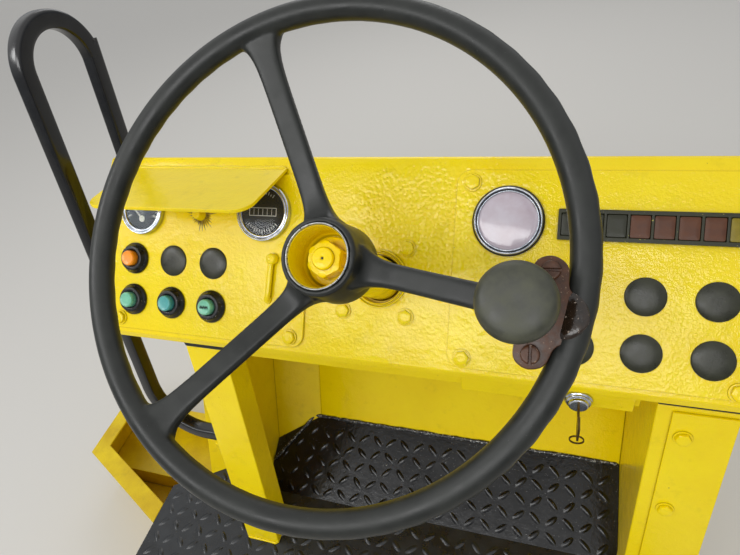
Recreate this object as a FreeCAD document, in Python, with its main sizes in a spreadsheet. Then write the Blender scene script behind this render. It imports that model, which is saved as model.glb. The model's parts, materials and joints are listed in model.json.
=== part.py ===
import FreeCAD, Part
import math
import os
import types

import Sketcher

# Operator's console of a road roller. Millimetres, +X to the operator's right, +Y forward, +Z up.
# The origin is the middle of the four base holes, on the underside of the base.

SIZES = (
    # alias, value, what it measures
    ("base_depth", 415.0, "base, rear face to front face"),
    ("base_left", 487.0, "base, middle line to the left face"),
    ("base_right", 305.0, "base, middle line to the right face"),
    ("base_corner_slant", 32.0, "slant of the front left corner, degrees"),
    ("sill_height", 115.0, "height of the sills"),
    ("sill_thickness", 8.0, "thickness of the sills"),
    ("lug_depth", 50.0, "base lug, along Y"),
    ("lug_width", 56.0, "base lug, along X"),
    ("lug_thickness", 8.0, "base lug"),
    ("lug_hole", 14.0, "bolt hole in a base lug, diameter"),
    ("lug_spread", 380.0, "distance between the base holes along X"),
    ("corner_margin", 33.0, "base lug to the slanting corner of the base, along X"),
    ("floor_thickness", 5.0, "chequer plate of the floor"),
    ("right_wall_inset", 58.6, "right wall of the foot well from the outer side of the right post"),
    ("corner_wall_width", 71.2, "corner wall of the foot well, along X"),
    ("well_corner_run", 33.0, "how far the corner wall comes back"),
    ("wall_thickness", 4.0, "walls of the foot well"),
    ("wall_inset", 6.0, "left wall behind the rear face of its post"),
    ("wall_lean", 28.0, "forward lean of the foot well walls, degrees"),
    ("bulkhead_inset", 26.1, "bulkhead at floor level behind the front of the base"),
    ("toe_run", 91.6, "rear edge of the toe plate to the bulkhead"),
    ("toe_angle", 25.0, "slope of the toe plate, degrees"),
    ("toe_thickness", 5.0, "toe plate"),
    ("cowl_left", 425.0, "middle line to the outer edge of the left cowl"),
    ("post_outer", 310.0, "middle line to the outer side of the left post"),
    ("right_outer", 301.0, "middle line to the outer side of the right post"),
    ("post_width", 56.5, "width of a post"),
    ("post_depth", 40.0, "depth of a post"),
    ("post_wall", 4.0, "wall of a post"),
    ("post_lean", 14.4, "forward lean of the posts, degrees"),
    ("post_y", 8.7, "rear face of the left post at floor level"),
    ("post_flange", 14.0, "extra width of the right post beside its cover"),
    ("cover_thickness", 3.0, "cover of the right post"),
    ("cover_end_gap", 5.0, "cover of the right post to the ends of the post"),
    ("pad_thickness", 11.0, "rubber pad between a post and the dash"),
    ("dash_width", 817.0, "dash, end to end"),
    ("layout_width", 817.0, "width of the dash that the places along it are given for"),
    ("dash_height", 524.0, "front edge of the dash above the base"),
    ("dash_y", 91.0, "front edge of the dash"),
    ("dash_slope", 47.7, "slope of the instrument face, degrees"),
    ("face_height", 204.6, "instrument face along its slope"),
    ("crest_rise", 10.5, "bent crest above the face, along its slope"),
    ("crest_drop", 2.2, "how far the crest falls back from the face's plane"),
    ("dash_top", 4.0, "flat strip along the top of the dash"),
    ("lip_height", 9.0, "folded lip under the face"),
    ("lip_return", 10.0, "how far the underside is set back from the lip"),
    ("underside_drop", 23.0, "front edge of the dash down to its underside"),
    ("back_margin", 8.0, "dash behind the top of the bulkhead"),
    ("dash_wall", 3.0, "sheet of the dash"),
    ("apron_height", 15.0, "stiffener under the dash"),
    ("apron_left_gap", 18.5, "stiffener to the left post"),
    ("apron_right_gap", 15.5, "stiffener to the right post"),
    ("panel_thickness", 3.0, "screwed panels on the face"),
    ("panel_foot", 5.5, "lower edge of the panels above the front edge"),
    ("panel_corner", 14.0, "corner radius of the panels"),
    ("panel_margin", 8.5, "outer edge of a panel to the end of the dash"),
    ("panel_seat", 12.0, "panel overlap on the face round the opening behind it"),
    ("instrument_edge", 130.5, "middle line to the instrument panel"),
    ("instrument_top", 197.0, "top of the instrument panel on the face"),
    ("lamp_edge", 30.5, "middle line to the lamp panel"),
    ("lamp_top", 203.0, "top of the lamp panel on the face"),
    ("bezel_step", 4.0, "instrument flange beyond its barrel"),
    ("bezel_height", 7.0, "height of an instrument bezel"),
    ("bezel_wall", 3.0, "wall of an instrument bezel"),
    ("barrel_length", 38.0, "instrument barrel behind the panel"),
    ("dial_drop", 2.5, "instrument face below the bezel's edge"),
    ("hole_clearance", 0.4, "gap round a stem in its hole"),
    ("button_column", -361.1, "first column of buttons"),
    ("button_pitch", 55.7, "pitch of the button columns"),
    ("button_row", 42.1, "lower row of buttons on the face"),
    ("button_rise", 50.6, "upper row above the lower row"),
    ("button_bezel", 38.2, "button guard, diameter"),
    ("button_guard", 9.0, "button guard, height"),
    ("button_cap", 24.8, "button cap, diameter"),
    ("button_proud", 16.0, "button cap above the panel"),
    ("button_stem", 22.0, "button barrel, diameter"),
    ("left_plug", 36.7, "blanking plug beside the buttons, diameter"),
    ("right_plug", 35.2, "blanking plug on the lamp panel, diameter"),
    ("plug_column", 149.4, "first column of plugs on the lamp panel"),
    ("plug_pitch", 57.2, "pitch of those columns"),
    ("plug_row", 38.1, "lower row of plugs on the face"),
    ("plug_rise", 51.7, "upper row above the lower row"),
    ("plug_height", 2.6, "blanking plug above the panel"),
    ("plug_rim", 2.5, "blanking plug beyond its hole"),
    ("plug_grip", 6.0, "blanking plug behind the panel"),
    ("strip_x", 226.6, "middle of the warning strip"),
    ("strip_row", 152.3, "warning strip on the face"),
    ("strip_height", 28.7, "warning strip, height"),
    ("strip_border", 1.5, "warning strip beyond its lenses"),
    ("strip_proud", 6.0, "warning strip above the panel"),
    ("strip_depth", 20.0, "warning strip behind the panel"),
    ("lens_pitch", 19.5, "pitch of the lenses"),
    ("lens_gap", 2.5, "gap between two lenses"),
    ("lens_height", 21.0, "height of a lens"),
    ("lens_drop", 1.0, "lens below the frame's face"),
    ("lens_depth", 3.0, "thickness of a lens"),
    ("column_x", -46.1, "steering column from the middle line"),
    ("column_row", 88.9, "steering column on the face"),
    ("column_tilt", 40.25, "steering column from upright, degrees"),
    ("column_length", 180.4, "face to the plane of the rim"),
    ("column_tube", 44.0, "column tube, diameter"),
    ("column_bore", 36.0, "column tube, bore"),
    ("column_buried", 62.0, "column tube inside the dash"),
    ("collar_outer", 61.0, "collar round the column, diameter"),
    ("collar_inner", 52.0, "collar round the column, bore"),
    ("collar_height", 5.0, "collar round the column"),
    ("flange_outer", 92.0, "flange that holds the column, diameter"),
    ("flange_gap", 0.3, "that flange to the column tube"),
    ("flange_thickness", 6.0, "flange that holds the column"),
    ("bush_length", 15.0, "bearing bush in the column"),
    ("shaft_diameter", 20.0, "steering shaft"),
    ("shaft_thread", 16.0, "threaded end of the steering shaft"),
    ("running_fit", 0.05, "radial clearance of a shaft in its bearing"),
    ("wheel_diameter", 400.0, "steering wheel"),
    ("rim_section", 20.0, "rim, diameter of the section"),
    ("spoke_width", 18.0, "spoke"),
    ("spoke_foot", 14.0, "underside of a spoke above the foot of the boss"),
    ("spoke_root", 13.0, "height of a spoke at the boss"),
    ("spoke_angle", -9.5, "angle of the first spoke, degrees"),
    ("hub_base", 68.0, "foot of the boss below the rim's plane"),
    ("hub_top", 13.5, "top of the boss below the rim's plane"),
    ("hub_foot_radius", 34.0, "boss at its foot"),
    ("hub_radius", 30.0, "boss at its top"),
    ("cup_outer", 26.5, "hub cup, outer radius"),
    ("cup_inner", 24.0, "hub cup, inner radius"),
    ("cup_depth", 33.0, "depth of the hub cup"),
    ("cup_floor", 4.0, "bottom of the hub cup"),
    ("washer_radius", 19.5, "hub washer"),
    ("washer_thickness", 3.0, "hub washer"),
    ("nut_width", 27.0, "hub nut across its flats"),
    ("nut_height", 16.0, "hub nut"),
    ("spinner_angle", -9.5, "angle of the spinner knob, degrees"),
    ("spinner_reach", 153.0, "wheel's axis to the spinner knob's axis"),
    ("knob_diameter", 50.0, "spinner knob"),
    ("knob_height", 36.0, "spinner knob"),
    ("knob_neck", 28.0, "neck of the spinner knob, diameter"),
    ("knob_gap", 0.3, "spinner knob above its plate"),
    ("stem_diameter", 10.0, "pin of the spinner knob"),
    ("stem_length", 24.0, "pin of the spinner knob above its plate"),
    ("clamp_plate_foot", 3.0, "clamp plate above the rim's plane"),
    ("clamp_plate", 5.0, "thickness of the clamp plate"),
    ("clamp_section", 25.0, "band round the rim, diameter of the section"),
    ("clamp_slack", 0.2, "clamp to the spoke"),
    ("clamp_arc", 10.6, "band round the rim, degrees"),
    ("screw_head", 12.0, "clamp screw, head diameter"),
    ("screw_height", 4.0, "clamp screw, head height"),
    ("hood_left", 373.5, "middle line to the left end of the glare hood"),
    ("hood_right", 160.0, "middle line to the right end of the glare hood"),
    ("hood_taper", 4.0, "each end of the hood comes in by this"),
    ("hood_reach", 93.0, "glare hood, root to edge"),
    ("hood_rise", 6.4, "glare hood above level, degrees"),
    ("hood_thickness", 4.0, "glare hood"),
    ("hood_row", 201.0, "root of the hood on the face"),
    ("hood_corner", 20.0, "corner radius of the hood"),
    ("key_left", 43.0, "key bracket, left end"),
    ("key_right", 209.0, "key bracket, right end"),
    ("key_drop", 17.0, "key bracket below the underside of the dash"),
    ("key_x", 159.0, "key switch from the middle line"),
    ("key_switch", 27.0, "key switch, diameter"),
    ("key_barrel", 19.0, "barrel of the key switch, diameter"),
    ("key_collar_height", 5.0, "collar of the key switch"),
    ("key_barrel_height", 9.0, "barrel of the key switch, from the bracket"),
    ("key_edge", 3.0, "key switch below the edge of its bracket"),
    ("blade_width", 8.0, "blade of the key"),
    ("blade_length", 14.0, "blade of the key"),
    ("bow_width", 20.0, "bow of the key"),
    ("bow_foot", 18.0, "where the bow of the key gets its full width"),
    ("bow_end", 32.0, "end of the bow from the key switch"),
    ("key_thickness", 2.0, "key"),
    ("ring_hole", 5.0, "hole in the key, diameter"),
    ("ring_hole_drop", 6.0, "that hole below the key's middle"),
    ("ring_hole_reach", 26.0, "that hole from the key switch"),
    ("ring_radius", 10.0, "key ring, radius of its middle line"),
    ("ring_wire", 0.9, "key ring, radius of its wire"),
    ("latch_x", -174.3, "latch bar on the instrument panel"),
    ("latch_row", 80.0, "middle of the latch bar on the face"),
    ("latch_length", 54.0, "latch bar"),
    ("latch_width", 9.0, "latch bar"),
    ("latch_height", 8.0, "latch bar above the panel"),
    ("stub_x", -268.5, "panel light stub"),
    ("stub_row", 149.0, "panel light stub on the face"),
    ("stub_foot", 8.0, "panel light stub, radius of its foot"),
    ("stub_top", 5.5, "panel light stub, radius of its top"),
    ("stub_height", 12.0, "panel light stub above the panel"),
    ("rail_gap", 29.4, "end of the dash to the plane of the grab rail"),
    ("rail_lean", 13.3, "forward lean of the grab rail, degrees"),
    ("rail_ahead", 74.5, "rear leg of the grab rail ahead of the base's corner, at its datum height"),
    ("rail_z", 590.2, "datum height of the grab rail"),
    ("rail_spread", 104.0, "grab rail, leg to leg"),
    ("rail_top", 800.0, "height of the centre of the grab rail's bend"),
    ("rail_width", 21.0, "bar of the grab rail, in its plane"),
    ("rail_depth", 18.0, "bar of the grab rail, across its plane"),
    ("rail_round", 5.0, "corner radius of that bar"),
    ("rail_end", 37.9, "straight end of a leg, from its bend to its foot plate"),
    ("rear_foot_z", 288.0, "foot of the rear leg"),
    ("front_foot_z", 449.0, "foot of the front leg"),
    ("foot_width", 60.0, "foot plate of the grab rail"),
    ("foot_height", 50.0, "foot plate of the grab rail"),
    ("foot_thickness", 6.0, "foot plate of the grab rail"),
    ("step_reach", 209.0, "boarding step beyond the base"),
    ("step_bend_y", 86.8, "rear corner of the boarding step"),
    ("step_slant", 24.3, "slant of the step's rear wall, degrees"),
    ("step_wall", 4.0, "wall of the boarding step"),
    ("step_flange", 31.0, "top flange of the boarding step"),
    ("step_drop", 61.7, "step deck below the floor"),
    ("step_edge_y", 95.0, "rear edge of the step deck"),
)

INSTRUMENTS = (
    # node of the bezels, node of the faces, instruments
    ("gauge_bezels", "gauge_faces", ("left_gauge", "hour_meter")),
    ("stop_lamp_bezel", "stop_lamp_lens", ("stop_lamp",)),
)

INSTRUMENT_SIZES = (
    ("left_gauge_x", -350.9, "left gauge"),
    ("left_gauge_row", 151.8, "left gauge on the face"),
    ("left_gauge_bezel", 59.3, "left gauge, diameter"),
    ("hour_meter_x", -185.2, "hour meter"),
    ("hour_meter_row", 154.5, "hour meter on the face"),
    ("hour_meter_bezel", 66.0, "hour meter, diameter"),
    ("stop_lamp_x", 81.8, "stop lamp"),
    ("stop_lamp_row", 153.6, "stop lamp on the face"),
    ("stop_lamp_bezel", 68.3, "stop lamp, diameter"),
)

CAPS = (
    # node, buttons as (column, row)
    ("orange_cap", ((0, 1),)),
    ("green_caps", ((0, 0), (2, 0))),
    ("teal_cap", ((1, 0),)),
)

LEFT_PLUGS = ((1, 1), (2, 1))
PLUG_COLUMNS = 4
PLUG_ROWS = 2

LENSES = (
    # node, cells of the warning strip
    ("blank_lenses", (0, 1, 2, 9)),
    ("red_lenses", (3, 4, 5, 6)),
    ("amber_lenses", (7, 8)),
)
LENS_CELLS = 10


class Dim:
    """A size: its number, and the formula of the sheet's cells that gives it."""

    def __init__(self, number, formula):
        self.number = number
        self.formula = formula

    def __add__(self, other):
        other = dim(other)
        return Dim(self.number + other.number, f"({self.formula} + {other.formula})")

    def __sub__(self, other):
        other = dim(other)
        return Dim(self.number - other.number, f"({self.formula} - {other.formula})")

    def __mul__(self, other):
        other = dim(other)
        return Dim(self.number * other.number, f"{self.formula} * {other.formula}")

    def __truediv__(self, other):
        other = dim(other)
        return Dim(self.number / other.number, f"{self.formula} / ({other.formula})")

    def __neg__(self):
        return Dim(-self.number, f"(-1 * {self.formula})")

    def __radd__(self, other):
        return dim(other) + self

    def __rsub__(self, other):
        return dim(other) - self

    def __rmul__(self, other):
        return dim(other) * self

    def __rtruediv__(self, other):
        return dim(other) / self


def dim(value):
    """The value as a Dim."""
    if isinstance(value, Dim):
        return value
    return Dim(float(value), f"({float(value)!r})")


def sine(angle):
    """Sine of an angle in degrees."""
    angle = dim(angle)
    return Dim(math.sin(math.radians(angle.number)), f"sin({angle.formula} * 1 deg)")


def cosine(angle):
    """Cosine of an angle in degrees."""
    angle = dim(angle)
    return Dim(math.cos(math.radians(angle.number)), f"cos({angle.formula} * 1 deg)")


def tangent(angle):
    """Tangent of an angle in degrees."""
    angle = dim(angle)
    return Dim(math.tan(math.radians(angle.number)), f"tan({angle.formula} * 1 deg)")


doc = FreeCAD.newDocument("OperatorConsole")


def fill_sheet(rows):
    """Write the driving sizes into the document's sheet and return them by name."""
    sheet = doc.addObject("Spreadsheet::Sheet", "Sizes")
    named = {}
    for line, (alias, value, note) in enumerate(rows, start=1):
        sheet.set(f"A{line}", note)
        sheet.set(f"B{line}", str(value))
        sheet.setAlias(f"B{line}", alias)
        named[alias] = Dim(value, f"Sizes.{alias}")
    doc.recompute()
    return types.SimpleNamespace(**named)


S = fill_sheet(SIZES + INSTRUMENT_SIZES)

NODES = []

# Places that several pieces share.
FLOOR = S.sill_height + S.floor_thickness
FRONT = S.base_depth / 2
REAR = -FRONT
UNDERSIDE = S.dash_height - S.underside_drop
POST_TOP = UNDERSIDE - S.pad_thickness
WELL_HEIGHT = UNDERSIDE - FLOOR
WELL_LEFT = S.post_outer
WELL_RIGHT = S.right_outer - S.right_wall_inset
WELL_CORNER = WELL_LEFT - S.corner_wall_width
BULKHEAD_Y = FRONT - S.bulkhead_inset
TOE_Y = BULKHEAD_Y - S.toe_run
CORNER_END = -(S.lug_spread / 2 + S.lug_width / 2 + S.corner_margin)
CORNER_Y = FRONT - (CORNER_END + S.base_left) * tangent(S.base_corner_slant)
POST_LEFT_INNER = S.post_width - S.post_outer
POST_RIGHT_INNER = S.right_outer - S.post_width - S.post_flange
PANEL_LEFT = S.panel_margin - S.dash_width / 2
PANEL_RIGHT = S.dash_width / 2 - S.panel_margin
STEP_OUTER = -S.base_left - S.step_reach


def corner_y(x):
    """Y of the slanting front left corner of the base, at x."""
    return CORNER_Y + (x + S.base_left) * tangent(S.base_corner_slant)


def spread(place):
    """A place along the dash, which spreads out with the dash's width."""
    return place * S.dash_width / S.layout_width


def vector(x, y, z):
    """A vector from numbers or sizes."""
    return FreeCAD.Vector(dim(x).number, dim(y).number, dim(z).number)


def place(piece, base, tilt=0.0, spin=0.0):
    """Place a piece at a base point, spun about its own Z and then tilted about X, in degrees."""
    turn = FreeCAD.Rotation(FreeCAD.Vector(1, 0, 0), dim(tilt).number)
    turn = turn * FreeCAD.Rotation(FreeCAD.Vector(0, 0, 1), dim(spin).number)
    piece.Placement = FreeCAD.Placement(vector(*base), turn)
    for axis, value in zip("xyz", base):
        piece.setExpression(f"Placement.Base.{axis}", dim(value).formula)


def on_face(x, row, height=0.0):
    """A point over the instrument face: along the dash, up the face, out of the face."""
    y = S.dash_y + row * cosine(S.dash_slope) - height * sine(S.dash_slope)
    z = S.dash_height + row * sine(S.dash_slope) + height * cosine(S.dash_slope)
    return (x, y, z)


def on_column(height):
    """A point on the steering axis, from the rim's plane upwards."""
    x, y, z = on_face(S.column_x, S.column_row)
    reach = S.column_length + height
    return (x, y - reach * sine(S.column_tilt), z + reach * cosine(S.column_tilt))


def in_face_frame(forward, up):
    """A step forward and up, as a step up the face and out of the face."""
    along = forward * cosine(S.dash_slope) + up * sine(S.dash_slope)
    out = up * cosine(S.dash_slope) - forward * sine(S.dash_slope)
    return (along, out)


def new_body(label, base=(0, 0, 0), tilt=0.0, spin=0.0):
    """An empty body with its label and its place."""
    piece = doc.addObject("PartDesign::Body", label)
    piece.Label = label
    place(piece, base, tilt, spin)
    return piece


def origin_plane(piece, role):
    """One of the body's own origin planes."""
    return next(p for p in piece.Origin.OriginFeatures if p.Role == role)


def new_sketch(piece, role):
    """A sketch on one of the body's own origin planes."""
    sketch = piece.newObject("Sketcher::SketchObject", f"{piece.Name}_sketch")
    sketch.AttachmentSupport = [(origin_plane(piece, role), "")]
    sketch.MapMode = "FlatFace"
    return sketch


def pin_point(sketch, edge, end, x, y):
    """Hold a point of the sketch at its distances from the origin."""
    for kind, value in (("DistanceX", dim(x)), ("DistanceY", dim(y))):
        index = sketch.addConstraint(Sketcher.Constraint(kind, -1, 1, edge, end, value.number))
        sketch.setExpression(f"Constraints[{index}]", value.formula)


def add_outline(sketch, corners):
    """A closed outline of straight runs through the corners."""
    points = [vector(x, y, 0) for x, y in corners]
    first = sketch.GeometryCount
    count = len(points)
    for k in range(count):
        sketch.addGeometry(Part.LineSegment(points[k], points[(k + 1) % count]), False)
    for k in range(count):
        after = first + (k + 1) % count
        sketch.addConstraint(Sketcher.Constraint("Coincident", first + k, 2, after, 1))
    for k, (x, y) in enumerate(corners):
        pin_point(sketch, first + k, 1, x, y)


def add_box(sketch, low_x, low_y, high_x, high_y):
    """A closed rectangle."""
    add_outline(sketch, ((low_x, low_y), (high_x, low_y), (high_x, high_y), (low_x, high_y)))


def add_circle(sketch, x, y, radius):
    """A circle held by its centre and its radius."""
    radius = dim(radius)
    circle = Part.Circle(vector(x, y, 0), FreeCAD.Vector(0, 0, 1), radius.number)
    edge = sketch.addGeometry(circle, False)
    pin_point(sketch, edge, 3, x, y)
    index = sketch.addConstraint(Sketcher.Constraint("Radius", edge, radius.number))
    sketch.setExpression(f"Constraints[{index}]", radius.formula)


def pad(piece, sketch, length, lean=None, midplane=False, reverse=False):
    """Pad a sketch. With a lean, it grows upwards and forward, and the length is its height."""
    feature = piece.newObject("PartDesign::Pad", f"{piece.Name}_pad")
    feature.Profile = sketch
    feature.setExpression("Length", dim(length).formula)
    feature.Midplane = midplane
    feature.Reversed = reverse
    if lean is not None:
        feature.UseCustomVector = True
        feature.Direction = vector(0, tangent(lean), 1)
        feature.AlongSketchNormal = True
    return feature


def pocket(piece, sketch, length, lean=None, reverse=False):
    """Cut a sketch out of the body, and check that something was cut."""
    doc.recompute()
    before = piece.Shape.Volume
    feature = piece.newObject("PartDesign::Pocket", f"{piece.Name}_pocket")
    feature.Profile = sketch
    feature.setExpression("Length", dim(length).formula)
    feature.Reversed = reverse
    if lean is not None:
        feature.UseCustomVector = True
        feature.Direction = vector(0, -tangent(lean), -1)
        feature.AlongSketchNormal = True
    doc.recompute()
    if not piece.Shape.Volume < before:
        raise RuntimeError(f"{piece.Label}: the pocket cuts nothing")
    return feature


def turned(label, profile, base, tilt, spin=0.0):
    """A body turned about its own Z axis from a profile of radius and height."""
    piece = new_body(label, base, tilt, spin)
    sketch = new_sketch(piece, "XZ_Plane")
    add_outline(sketch, profile)
    feature = piece.newObject("PartDesign::Revolution", f"{piece.Name}_turn")
    feature.Profile = sketch
    feature.ReferenceAxis = (sketch, ["V_Axis"])
    feature.Angle = 360
    return piece


def ring(inner, outer, foot, top):
    """Profile of a plain ring."""
    return ((inner, foot), (outer, foot), (outer, top), (inner, top))


def round_corners(piece, feature, radius, along):
    """Round every edge of a feature that runs along a direction of the body's own frame."""
    doc.recompute()
    names = []
    for number, edge in enumerate(feature.Shape.Edges, start=1):
        if edge.Curve.TypeId != "Part::GeomLine":
            continue
        direction = (edge.Vertexes[1].Point - edge.Vertexes[0].Point).normalize()
        if abs(direction.dot(along)) > 0.999:
            names.append(f"Edge{number}")
    rounded = piece.newObject("PartDesign::Fillet", f"{piece.Name}_round")
    rounded.Base = (feature, names)
    rounded.setExpression("Radius", dim(radius).formula)
    return rounded


def keep(piece):
    """Count a piece among the nodes that are written."""
    NODES.append(piece)
    return piece


def group(label, members):
    """One node made of pieces that don't touch."""
    node = doc.addObject("Part::Compound", label)
    node.Label = label
    node.Links = members
    return keep(node)


def slab(label, corners, foot, height, lean=None):
    """A plate or prism standing on a level outline."""
    piece = new_body(label, (0, 0, foot))
    sketch = new_sketch(piece, "XY_Plane")
    add_outline(sketch, corners)
    pad(piece, sketch, height, lean)
    return piece


def side_plate(label, corners, low_x, thickness):
    """A plate standing across X: its outline is given as Y and Z."""
    piece = new_body(label, (low_x, 0, 0))
    sketch = new_sketch(piece, "YZ_Plane")
    add_outline(sketch, corners)
    pad(piece, sketch, thickness)
    return piece


def box_corners(low_x, low_y, high_x, high_y):
    """The four corners of a level rectangle."""
    return ((low_x, low_y), (high_x, low_y), (high_x, high_y), (low_x, high_y))


def build_base():
    """Sills, lugs, floor and toe plate."""
    wall = S.sill_thickness
    inside = wall / cosine(S.base_corner_slant)
    left_top = CORNER_Y
    left = slab("left_sill", box_corners(-S.base_left, REAR, wall - S.base_left, left_top), 0, S.sill_height)
    right = slab("right_sill", box_corners(S.base_right - wall, REAR, S.base_right, FRONT), 0, S.sill_height)
    group("side_sills", [left, right])
    rear = slab(
        "rear_sill",
        box_corners(wall - S.base_left, REAR, S.base_right - wall, REAR + wall),
        0,
        S.sill_height,
    )
    front = slab(
        "front_sill",
        box_corners(CORNER_END, FRONT - wall, S.base_right - wall, FRONT),
        0,
        S.sill_height,
    )
    group("cross_sills", [rear, front])
    inner_x = wall - S.base_left
    slant_end = CORNER_END - wall / tangent(S.base_corner_slant)
    keep(
        slab(
            "corner_sill",
            (
                (-S.base_left, CORNER_Y),
                (inner_x, CORNER_Y),
                (inner_x, corner_y(inner_x) - inside),
                (CORNER_END, FRONT - inside),
                (CORNER_END, FRONT - wall),
                (CORNER_END, FRONT),
                (slant_end, corner_y(slant_end)),
            ),
            0,
            S.sill_height,
        )
    )
    lugs = []
    for side in (-1, 1):
        for end in (-1, 1):
            x = side * S.lug_spread / 2
            outer = end * (FRONT - wall)
            inner = outer - end * S.lug_depth
            low, high = (inner, outer) if end > 0 else (outer, inner)
            lug = new_body(f"lug_{len(lugs) + 1}")
            sketch = new_sketch(lug, "XY_Plane")
            add_box(sketch, x - S.lug_width / 2, low, x + S.lug_width / 2, high)
            add_circle(sketch, x, (low + high) / 2, S.lug_hole / 2)
            pad(lug, sketch, S.lug_thickness)
            lugs.append(lug)
    group("base_lugs", lugs)
    keep(
        slab(
            "floor_plate",
            (
                (-S.base_left, REAR),
                (S.base_right, REAR),
                (S.base_right, FRONT),
                (CORNER_END, FRONT),
                (-S.base_left, CORNER_Y),
            ),
            S.sill_height,
            S.floor_thickness,
        )
    )
    gain = cosine(S.toe_angle) - sine(S.toe_angle) * tangent(S.wall_lean)
    low_start = TOE_Y + S.toe_thickness / sine(S.toe_angle)
    run = (BULKHEAD_Y - TOE_Y) / gain
    low_run = (BULKHEAD_Y - low_start) / gain
    toe = side_plate(
        "toe_plate",
        (
            (TOE_Y, FLOOR),
            (TOE_Y + run * cosine(S.toe_angle), FLOOR + run * sine(S.toe_angle)),
            (low_start + low_run * cosine(S.toe_angle), FLOOR + low_run * sine(S.toe_angle)),
            (low_start, FLOOR),
        ),
        -WELL_LEFT,
        WELL_LEFT + WELL_RIGHT,
    )
    cut = new_sketch(toe, "XY_Plane")
    corner_low = BULKHEAD_Y - S.well_corner_run
    lift = FLOOR * tangent(S.wall_lean)
    add_outline(
        cut,
        (
            (0, corner_low - lift),
            (S.corner_wall_width, BULKHEAD_Y - lift),
            (S.corner_wall_width, BULKHEAD_Y - lift + S.base_depth),
            (0, BULKHEAD_Y - lift + S.base_depth),
        ),
    )
    pocket(toe, cut, S.dash_height, S.wall_lean, reverse=True)
    keep(toe)


def build_well():
    """Bulkhead, corner wall, side walls and the left cowl."""
    wall = S.wall_thickness
    keep(
        slab(
            "bulkhead",
            box_corners(-WELL_CORNER, BULKHEAD_Y, WELL_RIGHT, BULKHEAD_Y + wall),
            FLOOR,
            WELL_HEIGHT,
            S.wall_lean,
        )
    )
    corner_low = BULKHEAD_Y - S.well_corner_run
    keep(
        slab(
            "corner_wall",
            (
                (-WELL_LEFT, corner_low),
                (-WELL_CORNER, BULKHEAD_Y),
                (-WELL_CORNER, BULKHEAD_Y + wall),
                (-WELL_LEFT, corner_low + wall),
            ),
            FLOOR,
            WELL_HEIGHT,
            S.wall_lean,
        )
    )
    right_start = S.post_y + S.cover_thickness + S.post_depth
    for label, low_x, reach, start in (
        ("left_side_wall", -WELL_LEFT - wall, corner_low + wall, S.post_y + S.wall_inset),
        ("right_side_wall", WELL_RIGHT, BULKHEAD_Y + wall, right_start),
    ):
        keep(
            side_plate(
                label,
                (
                    (start, FLOOR),
                    (reach, FLOOR),
                    (reach + WELL_HEIGHT * tangent(S.wall_lean), UNDERSIDE),
                    (start + WELL_HEIGHT * tangent(S.post_lean), UNDERSIDE),
                ),
                low_x,
                wall,
            )
        )
    inner_x = -WELL_LEFT - wall
    inside = wall / cosine(S.base_corner_slant)
    keep(
        slab(
            "left_cowl",
            (
                (-S.cowl_left, corner_y(-S.cowl_left) - inside),
                (inner_x, corner_y(inner_x) - inside),
                (inner_x, corner_y(inner_x)),
                (-S.cowl_left, corner_y(-S.cowl_left)),
            ),
            FLOOR,
            WELL_HEIGHT,
            S.wall_lean,
        )
    )


def channel(label, low_x, high_x, rear_y):
    """A leaning post: a channel open towards the front."""
    wall = S.post_wall
    front_y = rear_y + S.post_depth
    return slab(
        label,
        (
            (low_x, rear_y),
            (high_x, rear_y),
            (high_x, front_y),
            (high_x - wall, front_y),
            (high_x - wall, rear_y + wall),
            (low_x + wall, rear_y + wall),
            (low_x + wall, front_y),
            (low_x, front_y),
        ),
        FLOOR,
        POST_TOP - FLOOR,
        S.post_lean,
    )


def build_posts():
    """Two posts, the cover of the right one, and the rubber pads on top."""
    right_rear = S.post_y + S.cover_thickness
    keep(channel("left_post", -S.post_outer, POST_LEFT_INNER, S.post_y))
    keep(channel("right_post", POST_RIGHT_INNER, S.right_outer, right_rear))
    lift = S.cover_end_gap * tangent(S.post_lean)
    keep(
        slab(
            "post_cover",
            box_corners(POST_RIGHT_INNER + S.post_flange, S.post_y + lift, S.right_outer, right_rear + lift),
            FLOOR + S.cover_end_gap,
            POST_TOP - FLOOR - 2 * S.cover_end_gap,
            S.post_lean,
        )
    )
    pads = []
    shift = (POST_TOP - FLOOR) * tangent(S.post_lean)
    for label, low_x, high_x, rear_y in (
        ("left_pad", -S.post_outer, POST_LEFT_INNER, S.post_y),
        ("right_pad", POST_RIGHT_INNER, S.right_outer, right_rear),
    ):
        corners = box_corners(low_x, rear_y + shift, high_x, rear_y + shift + S.post_depth)
        pads.append(slab(label, corners, POST_TOP, S.pad_thickness))
    group("mount_pads", pads)


def dash_section():
    """Outline of the dash seen from its end, in the frame of its face."""
    back = BULKHEAD_Y + S.wall_thickness + WELL_HEIGHT * tangent(S.wall_lean) + S.back_margin
    top = in_face_frame(S.dash_top, 0)
    crest = S.face_height + S.crest_rise
    steps = (
        in_face_frame(0, -S.lip_height),
        (dim(0), dim(0)),
        (S.face_height, dim(0)),
        (crest, -S.crest_drop),
        (crest + top[0], top[1] - S.crest_drop),
        in_face_frame(back - S.dash_y, -S.underside_drop),
        in_face_frame(S.lip_return, -S.underside_drop),
        in_face_frame(S.lip_return, -S.lip_height),
    )
    return steps


def panel_opening(sketch, low_x, high_x, top):
    """Opening in the face behind a panel."""
    seat = S.panel_seat
    add_box(sketch, low_x + seat, S.panel_foot + seat, high_x - seat, top - seat)


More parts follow.
